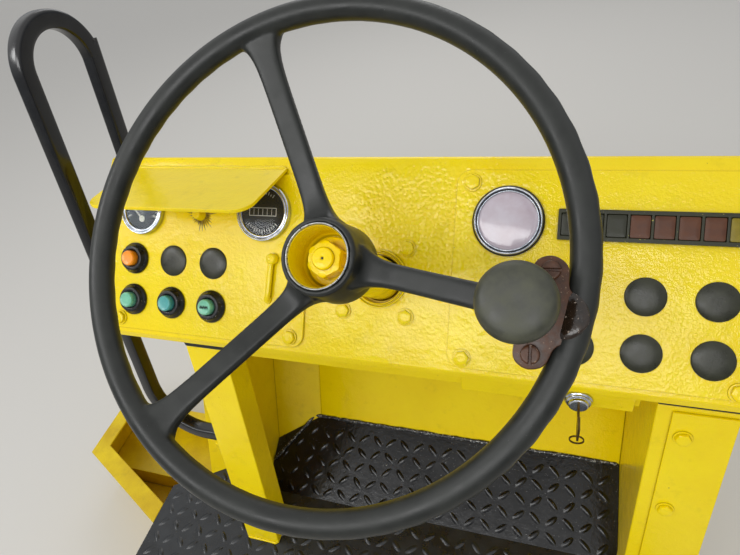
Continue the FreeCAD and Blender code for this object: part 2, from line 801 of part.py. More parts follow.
def build_dash():
    """Dash shell, its end plates, the stiffener under it, and the two panels."""
    section = dash_section()
    shell = new_body("dash_shell", on_face(0, 0), S.dash_slope)
    sketch = new_sketch(shell, "YZ_Plane")
    add_outline(sketch, section)
    solid = pad(shell, sketch, S.dash_width - 2 * S.dash_wall, midplane=True)
    doc.recompute()
    ends = []
    for number, face in enumerate(solid.Shape.Faces, start=1):
        normal = face.normalAt(0, 0)
        if abs(normal.x) > 0.999:
            ends.append(f"Face{number}")
    hollow = shell.newObject("PartDesign::Thickness", "dash_hollow")
    hollow.Base = (solid, ends)
    hollow.setExpression("Value", S.dash_wall.formula)
    hollow.Reversed = True
    hollow.Join = 1
    openings = new_sketch(shell, "XY_Plane")
    panel_opening(openings, PANEL_LEFT, spread(-S.instrument_edge), S.instrument_top)
    panel_opening(openings, spread(S.lamp_edge), PANEL_RIGHT, S.lamp_top)
    add_circle(openings, S.column_x, S.column_row, S.collar_inner / 2)
    pocket(shell, openings, 2 * S.dash_wall)
    keep(shell)
    plates = []
    for label, low_x in (("left_end", -S.dash_width / 2), ("right_end", S.dash_width / 2 - S.dash_wall)):
        plate = new_body(label, (low_x, S.dash_y, S.dash_height), S.dash_slope)
        sketch = new_sketch(plate, "YZ_Plane")
        add_outline(sketch, section)
        pad(plate, sketch, S.dash_wall)
        plates.append(plate)
    group("dash_end_plates", plates)
    rear = S.dash_y + S.lip_return
    apron_left = POST_LEFT_INNER + S.apron_left_gap
    apron_right = POST_RIGHT_INNER - S.apron_right_gap
    keep(
        slab(
            "apron",
            box_corners(apron_left, rear + S.dash_wall, apron_right, rear + 2 * S.dash_wall),
            UNDERSIDE - S.apron_height,
            S.apron_height,
        )
    )


def panel(label, low_x, high_x, top):
    """A screwed panel on the face, with its corners rounded."""
    piece = new_body(label, on_face(0, 0), S.dash_slope)
    sketch = new_sketch(piece, "XY_Plane")
    add_box(sketch, low_x, S.panel_foot, high_x, top)
    plate = pad(piece, sketch, S.panel_thickness)
    round_corners(piece, plate, S.panel_corner, FreeCAD.Vector(0, 0, 1))
    return piece


def barrel_hole(bezel):
    """Radius of the panel hole for a round instrument."""
    return bezel / 2 - S.bezel_step + S.hole_clearance


def button_place(column, row):
    """Place of a button on the face."""
    return (spread(S.button_column + column * S.button_pitch), S.button_row + row * S.button_rise)


def plug_place(column, row):
    """Place of a plug on the lamp panel."""
    return (spread(S.plug_column + column * S.plug_pitch), S.plug_row + row * S.plug_rise)


def plug_hole(diameter):
    """Radius of the hole for a blanking plug."""
    return diameter / 2 - S.plug_rim + S.hole_clearance


def strip_length():
    """Length of the warning strip."""
    return LENS_CELLS * spread(S.lens_pitch) + 2 * S.strip_border


def button_spots():
    """Column and row of every button."""
    return [spot for _, spots in CAPS for spot in spots]


def build_panels():
    """Instrument panel and lamp panel, with the holes for what they carry."""
    left = panel("instrument_panel", PANEL_LEFT, spread(-S.instrument_edge), S.instrument_top)
    holes = new_sketch(left, "XY_Plane")
    for name in ("left_gauge", "hour_meter"):
        add_circle(
            holes,
            spread(getattr(S, f"{name}_x")),
            getattr(S, f"{name}_row"),
            barrel_hole(getattr(S, f"{name}_bezel")),
        )
    for spot in button_spots():
        add_circle(holes, *button_place(*spot), S.button_stem / 2 + S.hole_clearance)
    for spot in LEFT_PLUGS:
        add_circle(holes, *button_place(*spot), plug_hole(S.left_plug))
    pocket(left, holes, S.panel_thickness, reverse=True)
    keep(left)
    right = panel("lamp_panel", spread(S.lamp_edge), PANEL_RIGHT, S.lamp_top)
    holes = new_sketch(right, "XY_Plane")
    add_circle(holes, spread(S.stop_lamp_x), S.stop_lamp_row, barrel_hole(S.stop_lamp_bezel))
    for column in range(PLUG_COLUMNS):
        for row in range(PLUG_ROWS):
            add_circle(holes, *plug_place(column, row), plug_hole(S.right_plug))
    half = strip_length() / 2 - S.bezel_step + S.hole_clearance
    rise = S.strip_height / 2 - S.bezel_step + S.hole_clearance
    middle = spread(S.strip_x)
    add_box(holes, middle - half, S.strip_row - rise, middle + half, S.strip_row + rise)
    pocket(right, holes, S.panel_thickness, reverse=True)
    keep(right)


def build_instruments():
    """Round instruments: a cased bezel and a face in each."""
    for bezel_node, face_node, names in INSTRUMENTS:
        bezels = []
        faces = []
        for name in names:
            outer = getattr(S, f"{name}_bezel") / 2
            barrel = outer - S.bezel_step
            inner = outer - S.bezel_wall
            dial = S.bezel_height - S.dial_drop
            x = spread(getattr(S, f"{name}_x"))
            seat = on_face(x, getattr(S, f"{name}_row"), S.panel_thickness)
            case = (
                (0, -S.barrel_length),
                (barrel, -S.barrel_length),
                (barrel, 0),
                (outer, 0),
                (outer, S.bezel_height / 2),
                (inner + 1, S.bezel_height),
                (inner, S.bezel_height),
                (inner, dial / 2),
                (0, dial / 2),
            )
            bezels.append(turned(f"{name}_case", case, seat, S.dash_slope))
            disc = ((0, dial / 2), (inner, dial / 2), (inner, dial), (0, dial))
            faces.append(turned(f"{name}_disc", disc, seat, S.dash_slope))
        group(bezel_node, bezels)
        group(face_node, faces)


def build_buttons():
    """Push buttons: guards and coloured caps."""
    guards = []
    guard = S.button_bezel / 2
    stem = S.button_stem / 2
    cap = S.button_cap / 2
    for column, row in button_spots():
        x, up = button_place(column, row)
        profile = (
            (0, -S.barrel_length),
            (stem, -S.barrel_length),
            (stem, 0),
            (guard, 0),
            (guard, S.button_guard / 3),
            (cap + 3, S.button_guard),
            (cap, S.button_guard),
            (cap, 1),
            (0, 1),
        )
        seat = on_face(x, up, S.panel_thickness)
        guards.append(turned(f"guard_{len(guards) + 1}", profile, seat, S.dash_slope))
    group("button_guards", guards)
    edge = cap - 2
    for node, spots in CAPS:
        caps = []
        for column, row in spots:
            x, up = button_place(column, row)
            profile = (
                (0, 1),
                (cap, 1),
                (cap, S.button_proud - 2),
                (edge, S.button_proud),
                (0, S.button_proud),
            )
            seat = on_face(x, up, S.panel_thickness)
            caps.append(turned(f"{node}_{len(caps) + 1}", profile, seat, S.dash_slope))
        group(node, caps)


def build_plugs():
    """Blanking plugs: a low dome, a groove for the panel and a grip behind it."""
    spots = [(button_place(*spot), S.left_plug) for spot in LEFT_PLUGS]
    for column in range(PLUG_COLUMNS):
        for row in range(PLUG_ROWS):
            spots.append((plug_place(column, row), S.right_plug))
    plugs = []
    for (x, up), diameter in spots:
        outer = diameter / 2
        stem = outer - S.plug_rim
        behind = -S.panel_thickness - S.plug_grip
        profile = (
            (0, behind),
            (stem, behind),
            (stem, 0),
            (outer, 0),
            (outer, S.plug_height / 2),
            (outer - 3, S.plug_height),
            (0, S.plug_height),
        )
        seat = on_face(x, up, S.panel_thickness)
        plugs.append(turned(f"plug_{len(plugs) + 1}", profile, seat, S.dash_slope))
    group("blanking_plugs", plugs)


def build_strip():
    """Warning strip: a frame with a row of lens wells, and the lenses in them."""
    length = strip_length()
    seat = on_face(spread(S.strip_x), S.strip_row, S.panel_thickness)
    frame = new_body("strip_frame", seat, S.dash_slope)
    sketch = new_sketch(frame, "XY_Plane")
    half, rise = length / 2, S.strip_height / 2
    add_box(sketch, -half, -rise, half, rise)
    pad(frame, sketch, S.strip_proud)
    back = new_sketch(frame, "XY_Plane")
    step = S.bezel_step
    add_box(back, step - half, step - rise, half - step, rise - step)
    pad(frame, back, S.strip_depth, reverse=True)
    doc.recompute()
    wells = new_sketch(frame, "XY_Plane")
    wells.AttachmentOffset = FreeCAD.Placement(
        vector(0, 0, S.strip_proud - S.lens_drop - S.lens_depth), FreeCAD.Rotation()
    )
    wells.setExpression(
        "AttachmentOffset.Base.z", (S.strip_proud - S.lens_drop - S.lens_depth).formula
    )
    wide, high = lens_size()
    for cell in range(LENS_CELLS):
        middle = lens_middle(cell)
        add_box(wells, middle - wide, -high, middle + wide, high)
    pocket(frame, wells, S.strip_proud, reverse=True)
    keep(frame)
    foot = S.panel_thickness + S.strip_proud - S.lens_drop - S.lens_depth
    for node, cells in LENSES:
        lenses = []
        for cell in cells:
            x = spread(S.strip_x) + lens_middle(cell)
            lens = new_body(f"{node}_{cell}", on_face(x, S.strip_row, foot), S.dash_slope)
            sketch = new_sketch(lens, "XY_Plane")
            add_box(sketch, -wide, -high, wide, high)
            pad(lens, sketch, S.lens_depth)
            lenses.append(lens)
        group(node, lenses)


def lens_size():
    """Half the width and half the height of a lens."""
    return (spread(S.lens_pitch) - S.lens_gap) / 2, S.lens_height / 2


def lens_middle(cell):
    """Middle of a lens cell from the middle of the strip."""
    return (cell - (LENS_CELLS - 1) / 2) * spread(S.lens_pitch)


def build_face_fittings():
    """Glare hood, latch bar with its pin, and the stub of the panel light."""
    left, right = spread(-S.hood_left), spread(-S.hood_right)
    hood = new_body("glare_hood", on_face(0, S.hood_row, 0), -S.hood_rise)
    sketch = new_sketch(hood, "XY_Plane")
    add_outline(
        sketch,
        (
            (left, 0),
            (left + S.hood_taper, -S.hood_reach),
            (right - S.hood_taper, -S.hood_reach),
            (right, 0),
        ),
    )
    plate = pad(hood, sketch, S.hood_thickness)
    doc.recompute()
    corners = []
    for number, edge in enumerate(plate.Shape.Edges, start=1):
        middle = edge.CenterOfMass
        rise = abs(edge.Vertexes[0].Point.z - edge.Vertexes[1].Point.z)
        if rise > S.hood_thickness.number / 2 and middle.y < -S.hood_reach.number / 2:
            corners.append(f"Edge{number}")
    rounded = hood.newObject("PartDesign::Fillet", "hood_round")
    rounded.Base = (plate, corners)
    rounded.setExpression("Radius", S.hood_corner.formula)
    keep(hood)
    latch_x = spread(S.latch_x)
    bar = new_body("latch_bar", on_face(latch_x, S.latch_row, S.panel_thickness), S.dash_slope)
    sketch = new_sketch(bar, "XY_Plane")
    half = S.latch_length / 2
    add_box(sketch, -S.latch_width / 2, -half, S.latch_width / 2, half)
    pad(bar, sketch, S.latch_height)
    keep(bar)
    end = S.latch_width / 2
    pin_seat = on_face(latch_x, S.latch_row + half - end, S.panel_thickness + S.latch_height)
    pin = ((0, 0), (end - 1, 0), (end - 1, 3), (0, 3))
    keep(turned("latch_pin", pin, pin_seat, S.dash_slope))
    stub_seat = on_face(spread(S.stub_x), S.stub_row, S.panel_thickness)
    stub = ((0, 0), (S.stub_foot, 0), (S.stub_top, S.stub_height), (0, S.stub_height))
    keep(turned("panel_light_stub", stub, stub_seat, S.dash_slope))


def build_key():
    """Key bracket under the lip, the key switch, its key and the ring."""
    rear = S.dash_y + S.lip_return - S.dash_wall
    foot = UNDERSIDE - S.key_drop
    keep(
        slab(
            "key_bracket",
            box_corners(S.key_left, rear, S.key_right, rear + S.dash_wall),
            foot,
            S.dash_height - S.lip_height - foot,
        )
    )
    axis_z = foot + S.key_switch / 2 - S.key_edge
    upright = 90.0
    collar, barrel = S.key_switch / 2, S.key_barrel / 2
    step, top = S.key_collar_height, S.key_barrel_height
    profile = ((0, 0), (collar, 0), (collar, step), (barrel, step), (barrel, top), (0, top))
    keep(turned("key_switch", profile, (S.key_x, rear, axis_z), upright))
    key = new_body("ignition_key", (S.key_x, rear - top, axis_z), upright)
    sketch = new_sketch(key, "XY_Plane")
    thin, blade, bow = S.key_thickness / 2, S.blade_width / 2, S.bow_width / 2
    add_box(sketch, -thin, -blade, thin, blade)
    pad(key, sketch, S.blade_length)
    outline = (
        (-blade, S.blade_length),
        (-bow, S.bow_foot),
        (-bow, S.bow_end),
        (bow, S.bow_end),
        (bow, S.bow_foot),
        (blade, S.blade_length),
    )
    sketch = new_sketch(key, "YZ_Plane")
    add_outline(sketch, outline)
    add_circle(sketch, -S.ring_hole_drop, S.ring_hole_reach, S.ring_hole / 2)
    pad(key, sketch, S.key_thickness, midplane=True)
    keep(key)
    hoop = doc.addObject("Part::Torus", "key_ring")
    hoop.Label = "key_ring"
    hoop.setExpression("Radius1", f"{S.ring_radius.formula}")
    hoop.setExpression("Radius2", f"{S.ring_wire.formula}")
    hang = S.ring_hole_drop + S.ring_hole / 2 - S.ring_wire - 0.1 + S.ring_radius
    place(hoop, (S.key_x, rear - top - S.ring_hole_reach, axis_z - hang), upright)
    keep(hoop)


def build_column():
    """Collar, flange, column tube and its two bushes."""
    keep(
        turned(
            "column_collar",
            ring(S.collar_inner / 2, S.collar_outer / 2, 0, S.collar_height),
            on_face(S.column_x, S.column_row),
            S.dash_slope,
        )
    )
    flange_foot = -S.dash_wall - S.flange_thickness
    turn = S.dash_slope - S.column_tilt
    flange_hole = S.column_tube / 2 / cosine(turn) - flange_foot * tangent(turn) + S.flange_gap
    keep(
        turned(
            "column_flange",
            ring(flange_hole, S.flange_outer / 2, flange_foot, -S.dash_wall),
            on_face(S.column_x, S.column_row),
            S.dash_slope,
        )
    )
    foot = -S.column_length - S.column_buried
    top = -S.hub_base - S.knob_gap
    keep(
        turned(
            "column_tube",
            ring(S.column_bore / 2, S.column_tube / 2, foot, top),
            on_column(0),
            S.column_tilt,
        )
    )
    bore = S.shaft_diameter / 2 + S.running_fit
    bushes = []
    for label, low in (("lower_bush", foot), ("upper_bush", top - S.bush_length)):
        profile = ring(bore, S.column_bore / 2, low, low + S.bush_length)
        bushes.append(turned(label, profile, on_column(0), S.column_tilt))
    group("column_bushes", bushes)


def spoke_outline(slack):
    """Side view of a spoke as radius and height, with some slack over it."""
    rim = S.wheel_diameter / 2 - S.rim_section / 2
    root = S.hub_radius - 2
    return (
        (root, S.spoke_foot - S.hub_base),
        (root, S.spoke_foot + S.spoke_root - S.hub_base + slack),
        (rim, S.rim_section / 4 + slack),
        (rim, -S.rim_section / 3 - slack),
    )


def build_wheel():
    """Steering wheel: rim, three spokes and boss, with the cup, washer, nut and shaft of its hub."""
    rim = S.wheel_diameter / 2 - S.rim_section / 2
    wheel = new_body("wheel", on_column(0), S.column_tilt, S.spoke_angle)
    sketch = new_sketch(wheel, "XZ_Plane")
    add_circle(sketch, rim, 0, S.rim_section / 2)
    hoop = wheel.newObject("PartDesign::Revolution", "rim_turn")
    hoop.Profile = sketch
    hoop.ReferenceAxis = (sketch, ["V_Axis"])
    hoop.Angle = 360
    doc.recompute()
    spoke = new_sketch(wheel, "XZ_Plane")
    add_outline(spoke, spoke_outline(0))
    arm = pad(wheel, spoke, S.spoke_width, midplane=True)
    doc.recompute()
    pattern = wheel.newObject("PartDesign::PolarPattern", "spokes")
    pattern.Originals = [arm]
    axis = next(a for a in wheel.Origin.OriginFeatures if a.Role == "Z_Axis")
    pattern.Axis = (axis, [""])
    pattern.Angle = 360
    pattern.Occurrences = 3
    wheel.Tip = pattern
    doc.recompute()
    boss = new_sketch(wheel, "XZ_Plane")
    socket = -S.hub_top - S.cup_depth - S.cup_floor
    add_outline(
        boss,
        (
            (S.shaft_diameter / 2, -S.hub_base),
            (S.hub_foot_radius, -S.hub_base),
            (S.hub_radius, -S.hub_top),
            (S.cup_outer, -S.hub_top),
            (S.cup_outer, socket),
            (S.shaft_diameter / 2, socket),
        ),
    )
    turn = wheel.newObject("PartDesign::Revolution", "boss_turn")
    turn.Profile = boss
    turn.ReferenceAxis = (boss, ["V_Axis"])
    turn.Angle = 360
    doc.recompute()
    clear = new_sketch(wheel, "XZ_Plane")
    add_outline(clear, ((0, socket), (S.cup_outer, socket), (S.cup_outer, 0), (0, 0)))
    groove = wheel.newObject("PartDesign::Groove", "cup_socket")
    groove.Profile = clear
    groove.ReferenceAxis = (clear, ["V_Axis"])
    groove.Angle = 360
    wheel.Tip = groove
    keep(wheel)
    seat = on_column(0)
    bore = S.shaft_diameter / 2
    cup_bottom = socket + S.cup_floor
    keep(
        turned(
            "hub_cup",
            (
                (bore, socket),
                (S.cup_outer, socket),
                (S.cup_outer, -S.hub_top),
                (S.cup_inner, -S.hub_top),
                (S.cup_inner, cup_bottom),
                (bore, cup_bottom),
            ),
            seat,
            S.column_tilt,
        )
    )
    thread = S.shaft_thread / 2
    washer_top = cup_bottom + S.washer_thickness
    keep(turned("hub_washer", ring(thread, S.washer_radius, cup_bottom, washer_top), seat, S.column_tilt))
    nut = new_body("hub_nut", on_column(washer_top), S.column_tilt)
    sketch = new_sketch(nut, "XY_Plane")
    corner = S.nut_width / cosine(30.0) / 2
    add_outline(sketch, [(corner * cosine(60.0 * k), corner * sine(60.0 * k)) for k in range(6)])
    add_circle(sketch, 0, 0, thread)
    pad(nut, sketch, S.nut_height)
    keep(nut)
    foot = -S.column_length - S.column_buried
    keep(
        turned(
            "steering_shaft",
            (
                (0, foot),
                (bore, foot),
                (bore, cup_bottom),
                (thread, cup_bottom),
                (thread, washer_top + S.nut_height + 2),
                (0, washer_top + S.nut_height + 2),
            ),
            seat,
            S.column_tilt,
        )
    )


def spinner_frame(height):
    """A point on the spinner knob's axis above the rim's plane."""
    x, y, z = on_column(height)
    along = S.spinner_reach * cosine(S.spinner_angle)
    across = S.spinner_reach * sine(S.spinner_angle)
    return (x + along, y + across * cosine(S.column_tilt), z + across * sine(S.column_tilt))


def build_spinner():
    """Spinner knob, its pin, and the clamp that holds it to the rim."""
    rim = S.wheel_diameter / 2 - S.rim_section / 2
    clamp = new_body("spinner_clamp", on_column(0), S.column_tilt, S.spinner_angle)
    sketch = new_sketch(clamp, "XZ_Plane")
    add_circle(sketch, rim, 0, S.clamp_section / 2)
    band = clamp.newObject("PartDesign::Revolution", "clamp_band")
    band.Profile = sketch
    band.ReferenceAxis = (sketch, ["V_Axis"])
    band.setExpression("Angle", S.clamp_arc.formula)
    band.Midplane = True
    doc.recompute()
    plate = new_sketch(clamp, "XY_Plane")
    plate.AttachmentOffset = FreeCAD.Placement(vector(0, 0, S.clamp_plate_foot), FreeCAD.Rotation())
    plate.setExpression("AttachmentOffset.Base.z", S.clamp_plate_foot.formula)
    reach = S.spinner_reach
    shape = (
        # along the spoke from the knob, across it
        (-14, -8),
        (-6, -16),
        (5, -30),
        (10, -37.5),
        (19, -37.5),
        (24, -30),
        (28, -19),
        (35, -16),
        (35, 12),
        (28, 14),
        (23, 27),
        (19, 33),
        (10, 33),
        (7, 28),
        (-6, 16),
        (-14, 8),
    )
    add_outline(plate, [(reach + along, across) for along, across in shape])
    pad(clamp, plate, S.clamp_plate)
    doc.recompute()
    gap = new_sketch(clamp, "XZ_Plane")
    add_circle(gap, rim, 0, S.rim_section / 2)
    bore = clamp.newObject("PartDesign::Groove", "clamp_bore")
    bore.Profile = gap
    bore.ReferenceAxis = (gap, ["V_Axis"])
    bore.Angle = 360
    clamp.Tip = bore
    doc.recompute()
    slot = new_sketch(clamp, "XZ_Plane")
    add_outline(slot, spoke_outline(S.clamp_slack))
    notch = pocket(clamp, slot, S.spoke_width + 2 * S.clamp_slack)
    notch.Midplane = True
    keep(clamp)
    top = S.clamp_plate_foot + S.clamp_plate
    screws = []
    for label, along, across in (("rear_screw", 14.5, -28.5), ("front_screw", 14.5, 25.5)):
        angle = S.spinner_angle
        radial = S.spinner_reach + along
        step_x = radial * cosine(angle) - across * sine(angle)
        step_y = radial * sine(angle) + across * cosine(angle)
        x, y, z = on_column(top)
        seat = (x + step_x, y + step_y * cosine(S.column_tilt), z + step_y * sine(S.column_tilt))
        head = ((0, 0), (S.screw_head / 2, 0), (S.screw_head / 2 - 1, S.screw_height), (0, S.screw_height))
        screws.append(turned(label, head, seat, S.column_tilt))
    group("clamp_screws", screws)
    pin = S.stem_diameter / 2
    keep(turned("knob_stem", ring(0, pin, 0, S.stem_length), spinner_frame(top), S.column_tilt))
    outer = S.knob_diameter / 2
    neck = S.knob_neck / 2
    hole = pin + S.running_fit
    height = S.knob_height
    knob = turned(
        "spinner_knob",
        (
            (hole, 0),
            (neck, 0),
            (neck, height * 0.22),
            (outer - 3, height * 0.42),
            (outer, height * 0.58),
            (outer - 1.5, height * 0.78),
            (outer - 7, height * 0.93),
            (outer * 0.4, height),
            (0, height),
            (0, S.stem_length + 1),
            (hole, S.stem_length + 1),
        ),
        spinner_frame(top + S.knob_gap),
        S.column_tilt,
    )
    keep(knob)


def rail_x():
    """X of the plane of the grab rail."""
    return -(S.dash_width / 2 + S.rail_gap)


def rail_y(leg, z):
    """Y of a leg of the grab rail at a height: leg 0 is the rear one, leg 1 the front one."""
    start = corner_y(rail_x()) + S.rail_ahead
    return start + leg * S.rail_spread / cosine(S.rail_lean) + (z - S.rail_z) * tangent(S.rail_lean)


def rail_point(leg, z):
    """Middle of a leg of the grab rail at a height."""
    return vector(rail_x(), rail_y(leg, z), z)


def arc_between(start, corner, end, radius):
    """Tangent arc at a corner between two straight runs."""
    toward_start = (start - corner).normalize()
    toward_end = (end - corner).normalize()
    half = toward_start.getAngle(toward_end) / 2
    reach = radius / math.tan(half)
    bisector = (toward_start + toward_end).normalize()
    centre = corner + bisector * (radius / math.sin(half))
    middle = centre - bisector * radius
    first = corner + toward_start * reach
    last = corner + toward_end * reach
    return first, Part.Arc(first, middle, last).toShape(), last


def build_rail():
    """Grab rail: one bent bar with a hairpin top, whose legs turn inboard to two foot plates."""
    plate_x = -WELL_LEFT - S.wall_thickness - S.foot_thickness
    bend = plate_x - rail_x() - S.rail_end
    feet = (S.rear_foot_z, S.front_foot_z)
    runs = []
    for leg, foot_z in enumerate(feet):
        corner = rail_point(leg, foot_z)
        foot = FreeCAD.Vector(plate_x.number, corner.y, corner.z)
        top = rail_point(leg, S.rail_top)
        first, arc, last = arc_between(foot, corner, top, bend.number)
        runs.append((foot, first, arc, last, top))
    (foot_a, first_a, arc_a, last_a, _), (foot_b, first_b, arc_b, last_b, _) = runs
    lean = math.radians(S.rail_lean.number)
    up = FreeCAD.Vector(0, math.sin(lean), math.cos(lean))
    across = FreeCAD.Vector(0, math.cos(lean), -math.sin(lean))
    half = S.rail_spread.number / 2
    centre = rail_point(0, S.rail_top) + across * half
    start = centre - across * half
    end = centre + across * half
    hairpin = Part.Arc(start, centre + up * half, end).toShape()
    path = Part.Wire(
        [
            Part.LineSegment(foot_a, first_a).toShape(),
            arc_a,
            Part.LineSegment(last_a, start).toShape(),
            hairpin,
            Part.LineSegment(end, last_b).toShape(),
            arc_b,
            Part.LineSegment(first_b, foot_b).toShape(),
        ]
    )
    wide, deep, corner = (S.rail_width.number / 2, S.rail_depth.number / 2, S.rail_round.number)
    outline = [
        FreeCAD.Vector(0, -wide, -deep),
        FreeCAD.Vector(0, wide, -deep),
        FreeCAD.Vector(0, wide, deep),
        FreeCAD.Vector(0, -wide, deep),
    ]
    section = Part.makePolygon(outline + outline[:1])
    bar = Part.Face(section).extrude(FreeCAD.Vector(1, 0, 0))
    long_edges = [e for e in bar.Edges if abs(e.Vertexes[0].X - e.Vertexes[1].X) > 0.5]
    rounded = bar.makeFillet(corner, long_edges)
    face = min(rounded.Faces, key=lambda f: f.CenterOfMass.x)
    profile = face.OuterWire
    profile.translate(foot_a)
    rail = doc.addObject("Part::Feature", "grab_rail")
    rail.Label = "grab_rail"
    rail.Shape = path.makePipeShell([profile], True, False)
    rail.Placement = FreeCAD.Placement()
    keep(rail)
    plates = []
    for leg, label in enumerate(("rear_foot", "front_foot")):
        low_y = rail_y(leg, feet[leg]) - S.foot_width / 2
        low_z = feet[leg] - S.foot_height / 2
        corners = box_corners(low_y, low_z, low_y + S.foot_width, low_z + S.foot_height)
        plates.append(side_plate(label, corners, plate_x, S.foot_thickness))
    group("rail_feet", plates)


def build_step():
    """Boarding step at the left: its walls with a top flange, the deck with its riser, and the tread."""
    wall = S.step_wall
    slant = S.step_slant
    join = (1 - sine(slant)) / cosine(slant)
    sill = -S.base_left

    def rear_y(x, inset):
        """Y of the rear wall at x, inset from its outer face."""
        return S.step_bend_y - (x - STEP_OUTER) * tangent(slant) + inset / cosine(slant)

    def band(inset):
        """Level outline of the step's walls with a given width."""
        corner_in = (STEP_OUTER + inset, S.step_bend_y + inset * join)
        front_in = FRONT - inset
        return (
            (sill, rear_y(sill, 0)),
            (sill, rear_y(sill, inset)),
            corner_in,
            (STEP_OUTER + inset, front_in),
            (front_end(front_in), front_in),
            (front_end(FRONT), FRONT),
            (STEP_OUTER, FRONT),
            (STEP_OUTER, S.step_bend_y),
        )

    def front_end(y):
        """X where a level line at y meets the slanting corner of the base."""
        return (y - CORNER_Y) / tangent(S.base_corner_slant) - S.base_left

    box = slab("step_box", band(wall), 0, S.sill_height)
    flange = new_sketch(box, "XY_Plane")
    flange.AttachmentOffset = FreeCAD.Placement(vector(0, 0, S.sill_height), FreeCAD.Rotation())
    flange.setExpression("AttachmentOffset.Base.z", S.sill_height.formula)
    add_outline(flange, band(S.step_flange))
    pad(box, flange, S.floor_thickness)
    keep(box)
    deck_top = FLOOR - S.step_drop
    edge = S.step_edge_y
    inner = STEP_OUTER + wall
    deck = slab(
        "step_deck",
        (
            (inner, edge),
            (front_end(edge), edge),
            (front_end(FRONT - wall), FRONT - wall),
            (inner, FRONT - wall),
        ),
        deck_top - wall,
        wall,
    )
    riser = new_sketch(deck, "XY_Plane")
    riser_end = front_end(edge)
    add_outline(riser, box_corners(inner, edge, riser_end, edge + wall))
    pad(deck, riser, deck_top - 2 * wall, reverse=True)
    keep(deck)
    keep(
        slab(
            "step_tread",
            (
                (inner, S.step_bend_y + wall * join),
                (sill, rear_y(sill, wall)),
                (sill, CORNER_Y),
                (riser_end, edge),
                (inner, edge),
            ),
            0,
            wall,
        )
    )


def check(pieces):
    """Stop if any object failed, or a node is empty or not valid."""
    for item in doc.Objects:
        if "Invalid" in item.State or "Error" in item.State:
            raise RuntimeError(f"{item.Label}: {item.State}")
    for piece in pieces:
        if piece.Shape.isNull() or not piece.Shape.isValid() or piece.Shape.Volume <= 0:
            raise RuntimeError(f"{piece.Label}: no valid shape")


build_base()
build_well()
build_posts()
build_dash()
build_panels()
build_instruments()
build_buttons()
build_plugs()
build_strip()
build_face_fittings()
build_key()
build_column()
build_wheel()
build_spinner()
build_rail()
build_step()
doc.recompute()
check(NODES)

os.makedirs("parts", exist_ok=True)
for node in NODES:
    node.Shape.exportStep(f"parts/{node.Label}.step")
    print(f"{node.Label}: {len(node.Shape.Solids)} solid(s), {node.Shape.Volume / 1000:.1f} cm3")
print(f"{len(NODES)} nodes")
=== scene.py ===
import json
import logging
import math
from dataclasses import dataclass
from enum import Enum

import bmesh
import bpy
import numpy as np
from mathutils import Matrix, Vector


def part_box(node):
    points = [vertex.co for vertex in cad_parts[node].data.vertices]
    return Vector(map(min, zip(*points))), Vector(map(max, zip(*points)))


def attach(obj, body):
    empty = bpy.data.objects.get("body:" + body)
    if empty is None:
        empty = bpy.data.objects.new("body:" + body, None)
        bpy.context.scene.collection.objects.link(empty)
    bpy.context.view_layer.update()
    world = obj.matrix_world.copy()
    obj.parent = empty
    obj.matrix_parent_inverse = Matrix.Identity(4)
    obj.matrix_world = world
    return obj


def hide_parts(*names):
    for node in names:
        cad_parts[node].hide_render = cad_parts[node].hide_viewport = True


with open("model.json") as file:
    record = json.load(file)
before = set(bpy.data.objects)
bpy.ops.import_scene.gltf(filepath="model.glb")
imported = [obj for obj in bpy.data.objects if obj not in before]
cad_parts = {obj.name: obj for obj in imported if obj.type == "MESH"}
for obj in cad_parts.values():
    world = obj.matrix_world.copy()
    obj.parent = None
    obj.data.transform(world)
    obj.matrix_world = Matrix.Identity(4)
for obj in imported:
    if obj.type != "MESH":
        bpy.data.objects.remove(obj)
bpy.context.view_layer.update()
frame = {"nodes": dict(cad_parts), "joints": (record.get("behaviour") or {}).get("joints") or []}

Tree = bpy.types.NodeTree
Socket = bpy.types.NodeSocket

MM = 0.001
FULL_TURN = 2 * math.pi
SIXTH_TURN = math.pi / 3
WELD_GAP = 1e-6

# Angles over which an edge stays sharp, under which a CAD face is flat, and over which a CAD edge
# is rounded.
SHARP = math.radians(38)
FLAT = math.radians(0.5)
FOLDED = math.radians(25)

# The instrument face, in degrees and millimetres: its slope, its lower edge above the underside
# of the dash, and the thickness of the panels on it.
FACE_SLOPE = 47.7
FACE_DROP = 23.0
PANEL = 3.0

# Cases behind the face: how far inside the ring they stand, and how deep they are.
CASE_INSET = 4.4
CASE_DEPTH = 30.0

log = logging.getLogger("console")


# Local frames and the arithmetic of surfaces


@dataclass(frozen=True)
class Axes:
    """A right-handed local frame: its origin in metres and its three unit axes."""

    origin: np.ndarray
    x: np.ndarray
    y: np.ndarray
    z: np.ndarray

    def world(self, points: np.ndarray) -> np.ndarray:
        """Turn local points in millimetres into points of the row frame in metres."""
        return self.origin + (np.asarray(points, float) * MM) @ np.stack([self.x, self.y, self.z])

    def moved(self, x: float, y: float, z: float = 0.0) -> "Axes":
        """The same axes with the origin moved by local millimetres."""
        return Axes(self.world(np.array([x, y, z])), self.x, self.y, self.z)

    def turned(self, angle: float) -> "Axes":
        """The same frame turned about its own z axis by an angle in radians."""
        cosine, sine = math.cos(angle), math.sin(angle)
        return Axes(self.origin, cosine * self.x + sine * self.y, cosine * self.y - sine * self.x, self.z)


def axes_about(origin: np.ndarray, normal: np.ndarray) -> Axes:
    """Work out a frame whose x is the row frame's X and whose z is a normal in the YZ plane.

    Args:
        origin: origin in metres.
        normal: direction of z, of any length.

    Returns:
        The frame.
    """
    z = np.asarray(normal, float) / np.linalg.norm(normal)
    x = np.array([1.0, 0.0, 0.0])
    return Axes(np.asarray(origin, float), x, np.cross(z, x), z)


